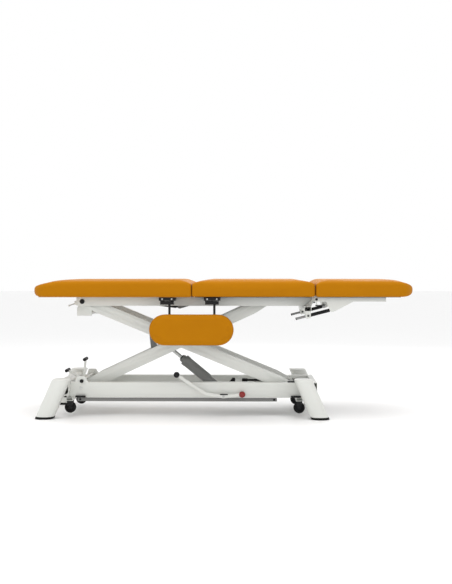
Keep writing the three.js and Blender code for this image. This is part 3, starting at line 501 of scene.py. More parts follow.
cylinderLook = {
    "barrel": [
        (0, 0.022), (0.019, 0.022), (0.022, 0.026), (0.022, 0.086), (0.026, 0.098), (0.0275, 0.102),
        (0.0275, 0.236), (0.029, 0.239), (0.029, 0.256), (0.027, 0.259), (0.0205, 0.2595),
        (0.0205, 0.2722), (0.011, 0.273), (0.0104, 0.271), (0.0104, 0.030), (0, 0.030),
    ],
    "wiper": [
        (0.0096, 0.2732), (0.017, 0.2732), (0.0165, 0.277), (0.0125, 0.279), (0.0096, 0.279),
        (0.0096, 0.2732),
    ],
    "pin": (0.0147, 0.014),  # half length and radius
    "neck": (0.004, 0.0235, 0.0125),  # from, to and radius
    "rod": (0.359, 0.008, 0.009), "eye": (0.009, 0.012),
}
cylinderPin = pivot["cylinder_tilt"]
rodAxis = travel["rod_extend"].normalized()
rodLow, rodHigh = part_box("cylinder_rod")
rodPin = Vector((rodLow.x + cylinderLook["eye"][1], 0, rodHigh.z - cylinderLook["eye"][1]))
mesh = bmesh.new()
addTurned(mesh, cylinderPin, rodAxis, cylinderLook["barrel"], 40)
addPin(mesh, cylinderPin, *cylinderLook["pin"])
start, stop, radius = cylinderLook["neck"]
addRod(mesh, cylinderPin + rodAxis * start, cylinderPin + rodAxis * stop, radius)
barrel = finishPiece("cylinderBarrel", mesh, "grey_enamel", "cylinder", 40)
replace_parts(barrel, "cylinder_body")
mesh = bmesh.new()
addTurned(mesh, cylinderPin, rodAxis, cylinderLook["wiper"])
finishPiece("rodWiper", mesh, "black_plastic", "cylinder", 40)
mesh = bmesh.new()
start, stop, radius = cylinderLook["rod"]
addRod(mesh, rodPin - rodAxis * start, rodPin - rodAxis * stop, radius, 0.0008, 36)
addPin(mesh, rodPin, *cylinderLook["eye"], 0.001, 32)
pistonRod = finishPiece("pistonRod", mesh, "bright_steel", "piston", 40)
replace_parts(pistonRod, "cylinder_rod")
print("cylinder made")

# gas spring of the backrest

gasLook = {
    "tube": [
        (0, 0.014), (0.008, 0.014), (0.0108, 0.018), (0.011, 0.190), (0.0105, 0.1945),
        (0.0062, 0.196), (0.006, 0.194), (0.006, 0.030), (0, 0.030),
    ],
    "pin": (0.007, 0.008),
    "neck": (0.016, 0.0065),  # length and radius
    "stem": (0.061, 0.003, 0.005), "eye": (0.006, 0.007),
}
gasPin = pivot["gas_tilt"]
gasAxis = travel["gas_extend"].normalized()
gasLow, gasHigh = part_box("gas_spring_rod")
gasEye = Vector((gasLow.x + gasLook["eye"][1], gasPin.y, gasHigh.z - gasLook["eye"][1]))
mesh = bmesh.new()
addTurned(mesh, gasPin, gasAxis, gasLook["tube"])
addPin(mesh, gasPin, *gasLook["pin"])
addRod(mesh, gasPin, gasPin + gasAxis * gasLook["neck"][0], gasLook["neck"][1])
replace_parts(finishPiece("gasSpringTube", mesh, "black_enamel", "gas_spring", 40), "gas_spring_body")
mesh = bmesh.new()
start, stop, radius = gasLook["stem"]
addRod(mesh, gasPin + gasAxis * start, gasEye - gasAxis * stop, radius, 0.0006)
addPin(mesh, gasEye, *gasLook["eye"])
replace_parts(finishPiece("gasSpringStem", mesh, "bright_steel", "gas_rod", 40), "gas_spring_rod")

# shafts and rollers

shaftRadius = 0.010
rollers = {  # radius and span of the two rollers on an axle
    "lower": (0.024, (0.161, 0.194)),
    "upper": (0.015, (0.1655, 0.1945)),
}


def makeAxle(node, body, name, slotName="bright_steel", roller=None):
    low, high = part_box(node)
    x, z = (low.x + high.x) / 2, (low.z + high.z) / 2
    mesh = bmesh.new()
    addRod(mesh, (x, low.y, z), (x, high.y, z), shaftRadius, 0.001, 32)
    if roller:
        radius, (inner, outer) = roller
        for side in (-1, 1):
            addRod(mesh, (x, side * inner, z), (x, side * outer, z), radius, 0.0015, 40)
    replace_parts(finishPiece(name, mesh, slotName, body, 40), node)


makeAxle("lower_pivot_shaft", "base", "lowerPivotShaft")
makeAxle("upper_pivot_shaft", "outer_arms", "upperPivotShaft")
makeAxle("lower_roller_axle", "outer_arms", "lowerRollerAxle", "roller_steel", rollers["lower"])
makeAxle("upper_roller_axle", "inner_arms", "upperRollerAxle", "roller_steel", rollers["upper"])

# caps, bolts and plugs

capOutline = [(0, 0), (1, 0), (1, 0.45), (0.82, 0.9), (0.4, 1), (0, 1)]  # shares of radius and height


def addCap(mesh, centre, outward, radius, height):
    addTurned(mesh, centre, outward, [(radius * across, height * up) for across, up in capOutline], 28)


capLook = {
    "gap": 0.0001,
    "pivot": (0.0125, 0.006),  # radius and height
    "shaft": (0.0095, 0.005),
    "shaftOut": 0.0052,
    "bolt": 0.0065,
    "boltOut": 0.0045,
    "boltShift": 0.008,
}
upperPivot = pivot["top_pivot"]
lowerPivot = pivot["lift"]
pedalPivot = pivot["wheel_pedal_press"]
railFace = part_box("top_rail_rear")[1].y
for name, side in (("front", -1), ("rear", 1)):
    out = Vector((0, side, 0))
    faceY = side * (railFace + capLook["gap"])
    mesh = bmesh.new()
    addCap(mesh, (upperPivot.x, faceY, upperPivot.z), out, *capLook["pivot"])
    finishPiece("pivotCap_" + name, mesh, "black_plastic", "top_frame", 40)
    mesh = bmesh.new()
    shaftY = side * (railFace + capLook["shaftOut"])
    addCap(mesh, (pedalPivot.x, shaftY, pedalPivot.z), out, *capLook["shaft"])
    finishPiece("pedalShaftCap_" + name, mesh, "black_plastic", "wheel_pedal", 40)
    mesh = bmesh.new()
    boltX, boltY = lowerPivot.x - capLook["boltShift"], side * (railFace + capLook["boltOut"])
    addRod(mesh, (boltX, faceY, lowerPivot.z), (boltX, boltY, lowerPivot.z), capLook["bolt"], 0.0008, 6)
    finishPiece("pivotBolt_" + name, mesh, "bright_steel", "base", 30)

plugParts = (
    {"reach": (-0.0003, -0.0030), "inset": 0.0008, "edge": 0.0009},  # flange outside the rail
    {"reach": (-0.0004, 0.012), "inset": 0.0030, "edge": 0.0006},  # plug inside it
)
topLow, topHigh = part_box("top_rail_rear")
for name, side in (("front", -1), ("rear", 1)):
    for place, x, inward in (("left", topLow.x, 1), ("right", topHigh.x, -1)):
        mesh = bmesh.new()
        for part in plugParts:
            inset = part["inset"]
            x0, x1 = sorted(x + inward * reach for reach in part["reach"])
            y0, y1 = sorted((side * (topLow.y + inset), side * (topHigh.y - inset)))
            addBlock(mesh, (x0, y0, topLow.z + inset), (x1, y1, topHigh.z - inset), part["edge"])
        finishPiece("railPlug_" + name + "_" + place, mesh, "white_plastic", "top_frame")
print("caps and plugs made")

# wheel pedal

pedalShape = {
    "middle": -0.139, "shaft": 0.005,
    "hub": (0.011, 0.011),  # half length and radius
    "spoke": 0.006, "padHalf": 0.038, "head": (-0.083, 0, 0.050), "upright": (0.010, 0, 0.108),
    "length": 0.084, "lip": 0.002, "bore": 0.006, "groove": 0.0076, "sleeve": 0.0085, "slope": 0.0018,
    "ribs": 9,
}
pedalLow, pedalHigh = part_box("wheel_pedal")
hub = Vector((pedalPivot.x, pedalShape["middle"], pedalPivot.z))
padEnds = {name: hub + Vector(pedalShape[name]) for name in ("head", "upright")}
mesh = bmesh.new()
addRod(mesh, (hub.x, pedalLow.y, hub.z), (hub.x, pedalHigh.y, hub.z), pedalShape["shaft"], 0.0008)
addPin(mesh, hub, *pedalShape["hub"], 0.0012, 36)
for end in padEnds.values():
    addRod(mesh, hub, end, pedalShape["spoke"], 0.0008)
    addPin(mesh, end, pedalShape["padHalf"], pedalShape["spoke"], 0.0008)
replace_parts(finishPiece("pedalSpokes", mesh, "white_enamel", "wheel_pedal", 40), "wheel_pedal")
length, lip, bore, slope = (pedalShape[key] for key in ("length", "lip", "bore", "slope"))
profile = [(0, -lip), (bore, -lip)]
for rib in range(pedalShape["ribs"]):
    start = rib * length / pedalShape["ribs"]
    stop = start + length / pedalShape["ribs"]
    profile += [(pedalShape["groove"], start)]
    profile += [(pedalShape["sleeve"], start + slope), (pedalShape["sleeve"], stop - slope)]
profile += [(pedalShape["groove"], length), (bore, length + lip), (0, length + lip)]
for name, end in padEnds.items():
    mesh = bmesh.new()
    addTurned(mesh, (end.x, end.y - length / 2, end.z), (0, 1, 0), profile, 28)
    finishPiece("pedalSleeve_" + name, mesh, "black_plastic", "wheel_pedal", 40)
print("wheel pedal made")

# pump pedal knobs, and a black block at the pivot as painted shadow of the gap there

pumpLook = {
    "tube": 0.008, "rise": 0.011,
    "blackKnob": (0.0155, 0.016),  # radius and half depth
    "redKnob": (0.0165, 0.016), "dimple": (0.0015, -0.0006), "pivotShadeLow": (-0.018, -0.0085, 0.0095),
    "pivotShadeHigh": (0.022, -0.0045, 0.0150), "capOut": 0.0041, "cap": (0.0058, 0.003),
}
pumpPivot = pivot["pump_stroke"]
pumpLow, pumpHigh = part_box("pump_pedal")
leftTip = Vector((pumpLow.x + pumpLook["tube"], pumpPivot.y, pumpHigh.z - pumpLook["tube"]))
rightTip = Vector((pumpHigh.x - pumpLook["tube"], pumpPivot.y, pumpPivot.z + pumpLook["rise"]))


def makeKnob(name, centre, size, slotName):
    radius, depth = size
    mesh = bmesh.new()
    made = bmesh.ops.create_icosphere(mesh, subdivisions=4, radius=1.0)
    bmesh.ops.scale(mesh, vec=(radius, depth, radius), verts=made["verts"])
    bmesh.ops.translate(mesh, vec=centre, verts=made["verts"])
    front = [face for face in mesh.faces if face.normal.y < -0.93]
    thickness, sink = pumpLook["dimple"]
    bmesh.ops.inset_region(mesh, faces=front, thickness=thickness, depth=sink)
    finishPiece(name, mesh, slotName, "pump_pedal", 60)


makeKnob("pumpKnobBlack", leftTip, pumpLook["blackKnob"], "black_plastic")
makeKnob("pumpKnobRed", rightTip, pumpLook["redKnob"], "red_knob")
# painted shadow: a black block over the pedal pivot, standing in for the shadowed gap at its bracket
mesh = bmesh.new()
addBlock(mesh, pumpPivot + Vector(pumpLook["pivotShadeLow"]), pumpPivot + Vector(pumpLook["pivotShadeHigh"]), 0.0012)
finishPiece("pumpPivotShade", mesh, "black_plastic", "pump_pedal")
mesh = bmesh.new()
addCap(mesh, pumpPivot - Vector((0, pumpLook["capOut"], 0)), (0, -1, 0), *pumpLook["cap"])
finishPiece("pumpShaftCap", mesh, "bright_steel", "pump_pedal")

leverLook = {"ball": 0.0055, "inset": 0.0035}
low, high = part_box("release_lever")
place = (low.x + leverLook["inset"], (low.y + high.y) / 2, low.z + leverLook["inset"])
mesh = bmesh.new()
made = bmesh.ops.create_icosphere(mesh, subdivisions=3, radius=leverLook["ball"])
bmesh.ops.translate(mesh, vec=place, verts=made["verts"])
finishPiece("leverBall", mesh, "white_plastic", "release_lever", 60)

# casters

casterShape = {
    "tyreHalf": [
        (0.0046, -0.012), (0.010, -0.012), (0.0115, -0.0098), (0.018, -0.0098), (0.019, -0.012),
        (0.024, -0.012), (0.0278, -0.009), (0.029, -0.0055), (0.029, -0.0022), (0.0276, -0.0012),
    ],
    "race": [(0, 0), (0.0105, 0), (0.0105, 0.0008), (0.008, 0.0014), (0, 0.0014)],
    "raceTop": 0.0745, "rivets": 5, "rivetRing": 0.0148, "rivetOut": 0.0097, "rivet": (0.0016, 0.0008),
    "nutOut": 0.0035, "nut": 0.0062, "forkWidth": 0.0007,
}
tyreHalf = casterShape["tyreHalf"]
tyreProfile = tyreHalf + [(radius, -height) for radius, height in tyreHalf[::-1]] + tyreHalf[:1]
for corner in ("front_left", "rear_left", "front_right", "rear_right"):
    centre = pivot["roll_" + corner]
    mesh = bmesh.new()
    addTurned(mesh, centre, (0, 1, 0), tyreProfile, 44)
    tyre = finishPiece("casterTyre_" + corner, mesh, "caster_tyre", "wheel_" + corner, 35)
    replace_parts(tyre, "caster_wheel_" + corner)
    mesh = bmesh.new()
    ring, out = casterShape["rivetRing"], casterShape["rivetOut"]
    for side in (-1, 1):
        for turn in range(casterShape["rivets"]):
            angle = turn * 2 * pi / casterShape["rivets"]
            spot = centre + Vector((ring * sin(angle), side * out, ring * cos(angle)))
            addCap(mesh, spot, (0, side, 0), *casterShape["rivet"])
    finishPiece("hubRivets_" + corner, mesh, "black_plastic", "wheel_" + corner)
    softenNode("caster_fork_" + corner, casterShape["forkWidth"], "black_enamel")
    low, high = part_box("caster_fork_" + corner)
    mesh = bmesh.new()
    for side in (-1, 1):
        face = Vector((centre.x, centre.y + side * (high.y - low.y) / 2, centre.z))
        addRod(mesh, face, face + Vector((0, side * casterShape["nutOut"], 0)), casterShape["nut"], 0.0006, 6)
    finishPiece("axleNuts_" + corner, mesh, "black_enamel", "caster_" + corner, 30)
    mesh = bmesh.new()
    addTurned(mesh, (centre.x, centre.y, casterShape["raceTop"]), (0, 0, -1), casterShape["race"], 24)
    finishPiece("swivelRace_" + corner, mesh, "black_plastic", "caster_" + corner)
print("casters made")

# hoods over the casters

hood = {"left": (-0.757, -0.703), "right": (0.346, 0.398), "y": (0.2003, 0.2125), "z": (0.0975, 0.1065)}
for name, side in (("front", -1), ("rear", 1)):
    y0, y1 = sorted(side * y for y in hood["y"])
    for place in ("left", "right"):
        mesh = bmesh.new()
        addBlock(mesh, (hood[place][0], y0, hood["z"][0]), (hood[place][1], y1, hood["z"][1]), 0.0035, 3)
        finishPiece("railHood_" + name + "_" + place, mesh, "black_plastic", "base")

# nuts and washers that hold the casters to the wheel frames

frameNuts = {
    "left": {"offsets": (-0.026, 0.004), "top": 0.1005},
    "right": {"offsets": (0.0,), "top": 0.1000},
    "bottom": 0.0943, "nut": 0.0065, "washerTop": 0.0962, "washer": 0.0095,
}
for corner in ("front_left", "rear_left", "front_right", "rear_right"):
    end = corner.split("_")[1]
    centre = pivot["roll_" + corner]
    mesh = bmesh.new()
    for offset in frameNuts[end]["offsets"]:
        x, y, bottom = centre.x + offset, centre.y, frameNuts["bottom"]
        addRod(mesh, (x, y, bottom), (x, y, frameNuts[end]["top"]), frameNuts["nut"], 0.0009, 6)
        addRod(mesh, (x, y, bottom), (x, y, frameNuts["washerTop"]), frameNuts["washer"], 0.0006, 24)
    finishPiece("frameNuts_" + corner, mesh, "black_plastic", "wheel_frame_" + end, 30)

# link bar and its bolts

linkLook = {"width": 0.0012, "boltInset": 0.014, "gap": 0.0001, "bolt": (0.0055, 0.003)}
softenNode("wheel_link_bar", linkLook["width"])
linkLow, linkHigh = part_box("wheel_link_bar")
mesh = bmesh.new()
for x, inward in ((linkLow.x, 1), (linkHigh.x, -1)):
    spot = (x + inward * linkLook["boltInset"], linkLow.y - linkLook["gap"], (linkLow.z + linkHigh.z) / 2)
    addCap(mesh, spot, (0, -1, 0), *linkLook["bolt"])
finishPiece("linkBolts", mesh, "black_plastic", "wheel_link")

# hand pump of the lift, on top of the cylinder mount

pump = {
    "saddle": (0.018, 0.040), "plate": (0.018, 0.096), "head": (0.027, 0.060), "block": (0.0602, 0.096),
    "saddleZ": (0.1448, 0.145, 0.1495),  # top of the foot, then the plate
    "bodyBottom": 0.1497, "headTop": 0.177, "blockTop": 0.1745, "slantFrom": 0.165, "slant": 0.016,
    "pipeZ": 0.1655, "pipeEnd": 0.215, "screwX": 0.078,
}
footTop, plateBottom, plateTop = pump["saddleZ"]
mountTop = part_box("cylinder_mount")[1].z + 0.0002
mesh = bmesh.new()
addBlock(mesh, (pump["saddle"][0], -0.018, mountTop), (pump["saddle"][1], 0.018, footTop), 0.0015)
addBlock(mesh, (pump["plate"][0], -0.022, plateBottom), (pump["plate"][1], 0.022, plateTop), 0.001)
finishPiece("pumpSaddle", mesh, "white_enamel", "base")
mesh = bmesh.new()
headX, blockX, pipeZ, bottom = pump["head"], pump["block"], pump["pipeZ"], pump["bodyBottom"]
addBlock(mesh, (headX[0], -0.017, bottom), (headX[1], 0.017, pump["headTop"]), 0.004, 3)
slant = [vert for vert in mesh.verts if vert.co.x < headX[0] + 0.006 and vert.co.z > pump["slantFrom"]]
bmesh.ops.translate(mesh, vec=(pump["slant"], 0, 0), verts=slant)
addRod(mesh, (blockX[1] - 0.001, 0, pipeZ), (pump["pipeEnd"], 0, pipeZ), 0.0055, 0.001)
addRod(mesh, (blockX[1] + 0.0002, 0, pipeZ), (blockX[1] + 0.030, 0, pipeZ), 0.0085, 0.0012)
finishPiece("pumpHead", mesh, "black_plastic", "base")
mesh = bmesh.new()
addBlock(mesh, (blockX[0], -0.016, bottom), (blockX[1], 0.016, pump["blockTop"]), 0.002)
addRod(mesh, (pump["screwX"], 0, 0.1743), (pump["screwX"], 0, 0.1785), 0.006, 0.0008, 6)
finishPiece("pumpBlock", mesh, "white_plastic", "base")

# painted shade: a black block on the rail top, standing in for the shaded roller slot of the rail
slotShade = {"low": (0.330, -0.198, 0.1743), "high": (0.396, -0.176, 0.1805), "edge": 0.0022}
mesh = bmesh.new()
addBlock(mesh, slotShade["low"], slotShade["high"], slotShade["edge"], 3)
finishPiece("rollerSlotShade", mesh, "black_plastic", "base")
print("base details made")

# lock struts of the leg section

lockLook = {
    "eye": (0.009, 0.009),  # half length and radius
    "tail": 0.062,
    "bar": (0.004, 0.006),  # gap to the eye and radius
    "sleeveStart": 0.012, "sleeveStop": 0.011, "bore": 0.0062, "sleeve": 0.009, "grooves": 11,
    "grooveInset": 0.008, "tailCap": (0.0068, 0.003), "eyeCap": (0.0062, 0.003),
    "knobFoot": (0.0132, 0.001), "neck": (0.010, 0.0042),
    "knob": [(0, 0), (0.009, 0), (0.0105, 0.002), (0.0105, 0.009), (0.0085, 0.012), (0, 0.0125)],
    "boltFace": 0.016, "boltOut": 0.004, "bolt": 0.0055,
}
lockAxis = travel["lock_slide"].normalized()
across = Vector((lockAxis.z, 0, -lockAxis.x))
for name, side in (("front", -1), ("rear", 1)):
    low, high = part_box("lock_rod_" + name)
    middleY = (low.y + high.y) / 2
    block = Vector((pivot["lock_tilt"].x, middleY, pivot["lock_tilt"].z))
    eyeHalf, eyeRadius = lockLook["eye"]
    eye = Vector((high.x - eyeRadius, middleY, high.z - eyeRadius))
    tail = block - lockAxis * lockLook["tail"]
    mesh = bmesh.new()
    addRod(mesh, tail, eye - lockAxis * lockLook["bar"][0], lockLook["bar"][1], 0.001)
    addPin(mesh, eye, eyeHalf, eyeRadius, 0.0009)
    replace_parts(finishPiece("lockBar_" + name, mesh, "roller_steel", "lock_rods", 40), "lock_rod_" + name)
    mesh = bmesh.new()
    bore, sleeve, inset = lockLook["bore"], lockLook["sleeve"], lockLook["grooveInset"]
    length = (eye - block).length - lockLook["sleeveStart"] - lockLook["sleeveStop"]
    profile = [(bore, 0.0), (sleeve - 0.0005, 0.0), (sleeve, 0.001)]
    for groove in range(lockLook["grooves"]):
        spot = inset + groove * (length - 2 * inset) / (lockLook["grooves"] - 1)
        profile += [(sleeve, spot - 0.0014), (sleeve - 0.0008, spot - 0.0006)]
        profile += [(sleeve - 0.0008, spot + 0.0006), (sleeve, spot + 0.0014)]
    profile += [(sleeve, length - 0.001), (sleeve - 0.0005, length), (bore, length), (bore, 0.0)]
    addTurned(mesh, block + lockAxis * lockLook["sleeveStart"], lockAxis, profile, 28)
    finishPiece("lockSleeve_" + name, mesh, "black_plastic", "lock_rods", 40)
    mesh = bmesh.new()
    addCap(mesh, tail, -lockAxis, *lockLook["tailCap"])
    addCap(mesh, eye + Vector((0, side * eyeHalf, 0)), (0, side, 0), *lockLook["eyeCap"])
    finishPiece("lockTips_" + name, mesh, "black_plastic", "lock_rods", 40)
    mesh = bmesh.new()
    sunk, shift = lockLook["knobFoot"]
    knobBase = block - across * sunk - lockAxis * shift
    neckLength, neckRadius = lockLook["neck"]
    addRod(mesh, knobBase, knobBase - across * neckLength, neckRadius, 0.0006, 24)
    addTurned(mesh, knobBase - across * neckLength, -across, lockLook["knob"], 28)
    finishPiece("lockKnob_" + name, mesh, "black_plastic", "lock_housings", 40)
    mesh = bmesh.new()
    for end in (-1, 1):
        face = middleY + end * lockLook["boltFace"]
        tip = face + end * lockLook["boltOut"]
        addRod(mesh, (block.x, face, block.z), (block.x, tip, block.z), lockLook["bolt"], 0.0006, 6)
    finishPiece("lockBolts_" + name, mesh, "black_plastic", "top_frame", 30)

# buffers of the leg section

buffer = {
    "capY": 0.2636, "capShift": (0.008, -0.002), "cap": (0.0065, 0.003), "x": (0.004, 0.038),
    "y": (0.239, 0.252), "z": (0.5665, 0.5725), "posts": (0.006, 0.030), "postWidth": 0.006,
    "postInset": 0.002, "postZ": (0.5723, 0.5898),
}
legHinge = pivot["leg_section_hinge"]
for name, side in (("front", -1), ("rear", 1)):
    mesh = bmesh.new()
    shiftX, shiftZ = buffer["capShift"]
    spot = (legHinge.x + shiftX, side * buffer["capY"], legHinge.z + shiftZ)
    addCap(mesh, spot, (0, side, 0), *buffer["cap"])
    y0, y1 = sorted(side * y for y in buffer["y"])
    x0, x1 = (legHinge.x + x for x in buffer["x"])
    addBlock(mesh, (x0, y0, buffer["z"][0]), (x1, y1, buffer["z"][1]), 0.0015)
    finishPiece("legBuffer_" + name, mesh, "black_plastic", "leg_section")
    mesh = bmesh.new()
    inset = buffer["postInset"]
    for x in buffer["posts"]:
        x0, x1 = legHinge.x + x, legHinge.x + x + buffer["postWidth"]
        addBlock(mesh, (x0, y0 + inset, buffer["postZ"][0]), (x1, y1 - inset, buffer["postZ"][1]), 0.001)
    finishPiece("bufferPosts_" + name, mesh, "white_plastic", "leg_section")
print("lock struts made")

# armrest rods

hangerLook = {
    "inset": (0.042, 0.018), "shift": 0.012,
    "knuckle": (0.030, 0.009),  # half length and radius
    "padGap": 0.0003, "rod": 0.006, "bar": 0.005, "screws": (-0.024, 0.024), "screwZ": 0.6030,
    "screw": (0.0045, 0.0025),
}
rodsLow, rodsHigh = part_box("armrest_rods")
swing = pivot["armrest_swing"]
hangers = (rodsLow.x + hangerLook["inset"][0], rodsHigh.x - hangerLook["inset"][1])
knuckles = [hanger - hangerLook["shift"] for hanger in hangers]
padLow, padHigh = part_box("armrest_pad")
padMiddle = (padLow.z + padHigh.z) / 2
rodY = padHigh.y + hangerLook["padGap"] + hangerLook["rod"]
half, radius = hangerLook["knuckle"]
mesh = bmesh.new()
for hanger, knuckle in zip(hangers, knuckles):
    addRod(mesh, (knuckle - half, swing.y, swing.z), (knuckle + half, swing.y, swing.z), radius, 0.0012, 36)
    addRod(mesh, (hanger, rodY, swing.z), (hanger, rodY, rodsLow.z), hangerLook["rod"], 0.001, 32)
addRod(mesh, (hangers[0], rodY, padMiddle), (hangers[1], rodY, padMiddle), hangerLook["bar"], 0.0008)
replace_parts(finishPiece("armrestHangers", mesh, "black_enamel", "armrest", 40), "armrest_rods")
mesh = bmesh.new()
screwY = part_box("armrest_bracket_left")[0].y
for knuckle in knuckles:
    for offset in hangerLook["screws"]:
        addCap(mesh, (knuckle + offset, screwY, hangerLook["screwZ"]), (0, -1, 0), *hangerLook["screw"])
finishPiece("bracketScrews", mesh, "bright_steel", "top_frame")
print("armrest rods made")

# cushions


def arcPoints(centreX, centreZ, reachX, reachZ, start, stop, steps):
    spread = [start + (stop - start) * step / steps for step in range(steps + 1)]
    return [(centreX + reachX * cos(radians(a)), centreZ + reachZ * sin(radians(a))) for a in spread]


def extrudeOutline(outline, near, far):
    # closes the XZ outline and pulls it from near to far along Y
    mesh = bmesh.new()
    mesh.faces.new([mesh.verts.new((x, near, z)) for x, z in outline])
    pullFaces(mesh, (0, far - near, 0))
    bmesh.ops.recalc_face_normals(mesh, faces=mesh.faces)
    return mesh


def bevelCaps(mesh, places, offset, segments=5):
    rims = [
        side
        for side in mesh.edges
        if any(all(abs(vert.co.y - place) < 1e-5 for vert in side.verts) for place in places)
    ]
    bevelOff(mesh, rims, offset, segments, clamp=True)


def bakeModifiers(piece):
    graph = bpy.context.evaluated_depsgraph_get()
    data = bpy.data.meshes.new_from_object(piece.evaluated_get(graph))
    piece.modifiers.clear()
    piece.data = data
    return piece


def roundPlan(piece, ends, radius, halfWidth):
    # narrows the cushion over its last stretch, so that its corners are round from above
    for vert in piece.data.vertices:
        for endX, inward in ends:
            depth = (vert.co.x - endX) * inward
            if depth < radius:
                inset = radius - sqrt(max(radius ** 2 - (radius - max(depth, 0.0)) ** 2, 0.0))
                vert.co.y *= (halfWidth - inset) / halfWidth


clothLook = {"pressure": 4.0, "quality": 4, "tension": 12, "frames": 20}


def inflate(piece, pinned, cap):
    group = piece.vertex_groups.new(name="held")
    held = [vert.index for vert in piece.data.vertices if pinned(vert.co)]
    group.add(held, 1.0, "REPLACE")
    rest = [(vert.co.copy(), vert.normal.copy()) for vert in piece.data.vertices]
    cloth = piece.modifiers.new("cloth", "CLOTH")
    cloth.settings.use_pressure = True
    cloth.settings.uniform_pressure_force = clothLook["pressure"]
    cloth.settings.vertex_group_mass = "held"
    cloth.settings.quality = clothLook["quality"]
    cloth.settings.tension_stiffness = clothLook["tension"]
    cloth.settings.effector_weights.gravity = 0
    cloth.collision_settings.use_collision = False
    cloth.point_cache.frame_start = 1
    cloth.point_cache.frame_end = clothLook["frames"]
    for step in range(1, clothLook["frames"] + 1):
        scene.frame_set(step)
    bakeModifiers(piece)
    for vert, (start, normal) in zip(piece.data.vertices, rest):
        move = vert.co - start
        move -= normal * min(move.dot(normal), 0.0)  # the cover swells and never sinks
        vert.co = start + move * min(cap / max(move.length, 1e-9), 1.0)
    scene.frame_set(1)


def makePad(name, mesh, settings, body, pinned, limits, ends=()):
    data = bpy.data.meshes.new(name)
    mesh.to_mesh(data)
    mesh.free()
    piece = bpy.data.objects.new(name, data)
    scene.collection.objects.link(piece)
    remesh = piece.modifiers.new("remesh", "REMESH")
    remesh.mode = "VOXEL"
    remesh.voxel_size = settings["voxel"]
    bakeModifiers(piece)
    if ends:
        roundPlan(piece, ends, settings["plan"], settings["half"])
    inflate(piece, pinned, settings["cap"])
    low, high = limits
    for vert in piece.data.vertices:  # nothing swells into the neighbours
        vert.co = Vector(min(max(value, a), b) for value, a, b in zip(vert.co, low, high))
    smooth = piece.modifiers.new("smooth", "SMOOTH")
    smooth.factor = 0.5
    smooth.iterations = 3
    finer = piece.modifiers.new("finer", "SUBSURF")
    finer.levels = finer.render_levels = 1
    bakeModifiers(piece)
    data = piece.data
    data.polygons.foreach_set("use_smooth", [True] * len(data.polygons))
    data.materials.clear()
    data.materials.append(finish["mustard_cover"])
    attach(piece, body)
    print(name, len(data.polygons), "faces")
    return piece


cushion = {
    "half": 0.325, "voxel": 0.008, "plan": 0.075, "cap": 0.007, "fill": 0.9, "edge": 0.026,
    "crown": 0.0075, "swell": 0.0065, "liner": 0.0022, "notchLength": 0.062, "notchDepth": 0.018,
    "noseTip": 0.036,
    "backNose": (0.185, 0.050),  # reach over the top and under the nose
    "legNose": (0.112, 0.060), "boardGap": 0.0006, "jointGap": 0.0008, "spare": 0.0001,
    "jointSpare": 0.0004, "pinHeight": 0.006, "pinReach": 0.009, "squashZ": 0.65,
}
seatLow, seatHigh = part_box("seat_cushion")
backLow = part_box("backrest_cushion")[0]
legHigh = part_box("leg_section_cushion")[1]
backJoint = pivot["backrest_hinge"].x
legJoint = pivot["leg_section_hinge"].x
cushionTop = seatHigh.z - cushion["crown"]
tipHeight = seatLow.z + cushion["noseTip"]
backJointX = backJoint - cushion["jointGap"], backJoint + cushion["jointGap"]
legJointX = legJoint - cushion["jointGap"], legJoint + cushion["jointGap"]
halfWidth = cushion["half"] - cushion["swell"]


def jointEnd(x, inward, bottom):
    # rounded shoulder at a joint, from the top down to the underside
    reach, depth = cushion["notchLength"], cushion["notchDepth"]
    return arcPoints(x + inward * reach, cushionTop - depth, -inward * reach, depth, 90, 0, 6) + [(x, bottom)]


def noseEnd(tip, inward, reaches, bottom):
    # long curve over the top and a short one under the nose, read from the underside up
    over, under = (inward * reach for reach in reaches)
    lower = arcPoints(tip + under, tipHeight, -under, tipHeight - bottom, -90, 0, 6)
    upper = arcPoints(tip + over, tipHeight, -over, cushionTop - tipHeight, 0, 90, 9)
    return lower + upper[1:]


linerTop = seatLow.z + cushion["liner"]
backBottom = seatLow.z + cushion["boardGap"]
backTip, legTip = backLow.x + cushion["swell"], legHigh.x - cushion["swell"]
spare, jointSpare, half = cushion["spare"], cushion["jointSpare"], cushion["half"]

plans = {
    "backrestCushion": {
        "outline": noseEnd(backTip, 1, cushion["backNose"], backBottom)
        + jointEnd(backJointX[0], -1, backBottom),
        "body": "backrest",
        "low": (backLow.x, -half, backBottom - spare),
        "high": (backJointX[0] + jointSpare, half, seatHigh.z),
        "ends": [(backTip, 1)],
        "nodes": ["backrest_cushion"],
        "bottom": backBottom,
    },
    "seatCushion": {
        "outline": jointEnd(legJointX[0], -1, linerTop) + jointEnd(backJointX[1], 1, linerTop)[::-1],
        "body": "top_frame",
        "low": (backJointX[1] - jointSpare, -half, linerTop - spare),
        "high": (legJointX[0] + jointSpare, half, seatHigh.z),
        "ends": [],
        "nodes": ["seat_cushion", "back_joint_foam", "leg_joint_foam"],
        "bottom": linerTop,
    },
    "legCushion": {
        "outline": noseEnd(legTip, -1, cushion["legNose"], linerTop) + jointEnd(legJointX[1], 1, linerTop),
        "body": "leg_section",
        "low": (legJointX[1] - jointSpare, -half, linerTop - spare),
        "high": (legHigh.x, half, seatHigh.z),
        "ends": [(legTip, -1)],
        "nodes": ["leg_section_cushion"],
        "bottom": linerTop,
    },
}
squashes = {
    "backrestCushion": ("backrest_hinge", (backLow.x, 0, cushion["squashZ"]), 0.92),
    "seatCushion": ("backrest_hinge", (legJoint, 0, cushion["squashZ"]), 0.90),
    "legCushion": ("leg_section_hinge", (legHigh.x, 0, cushion["squashZ"]), 0.83),
}
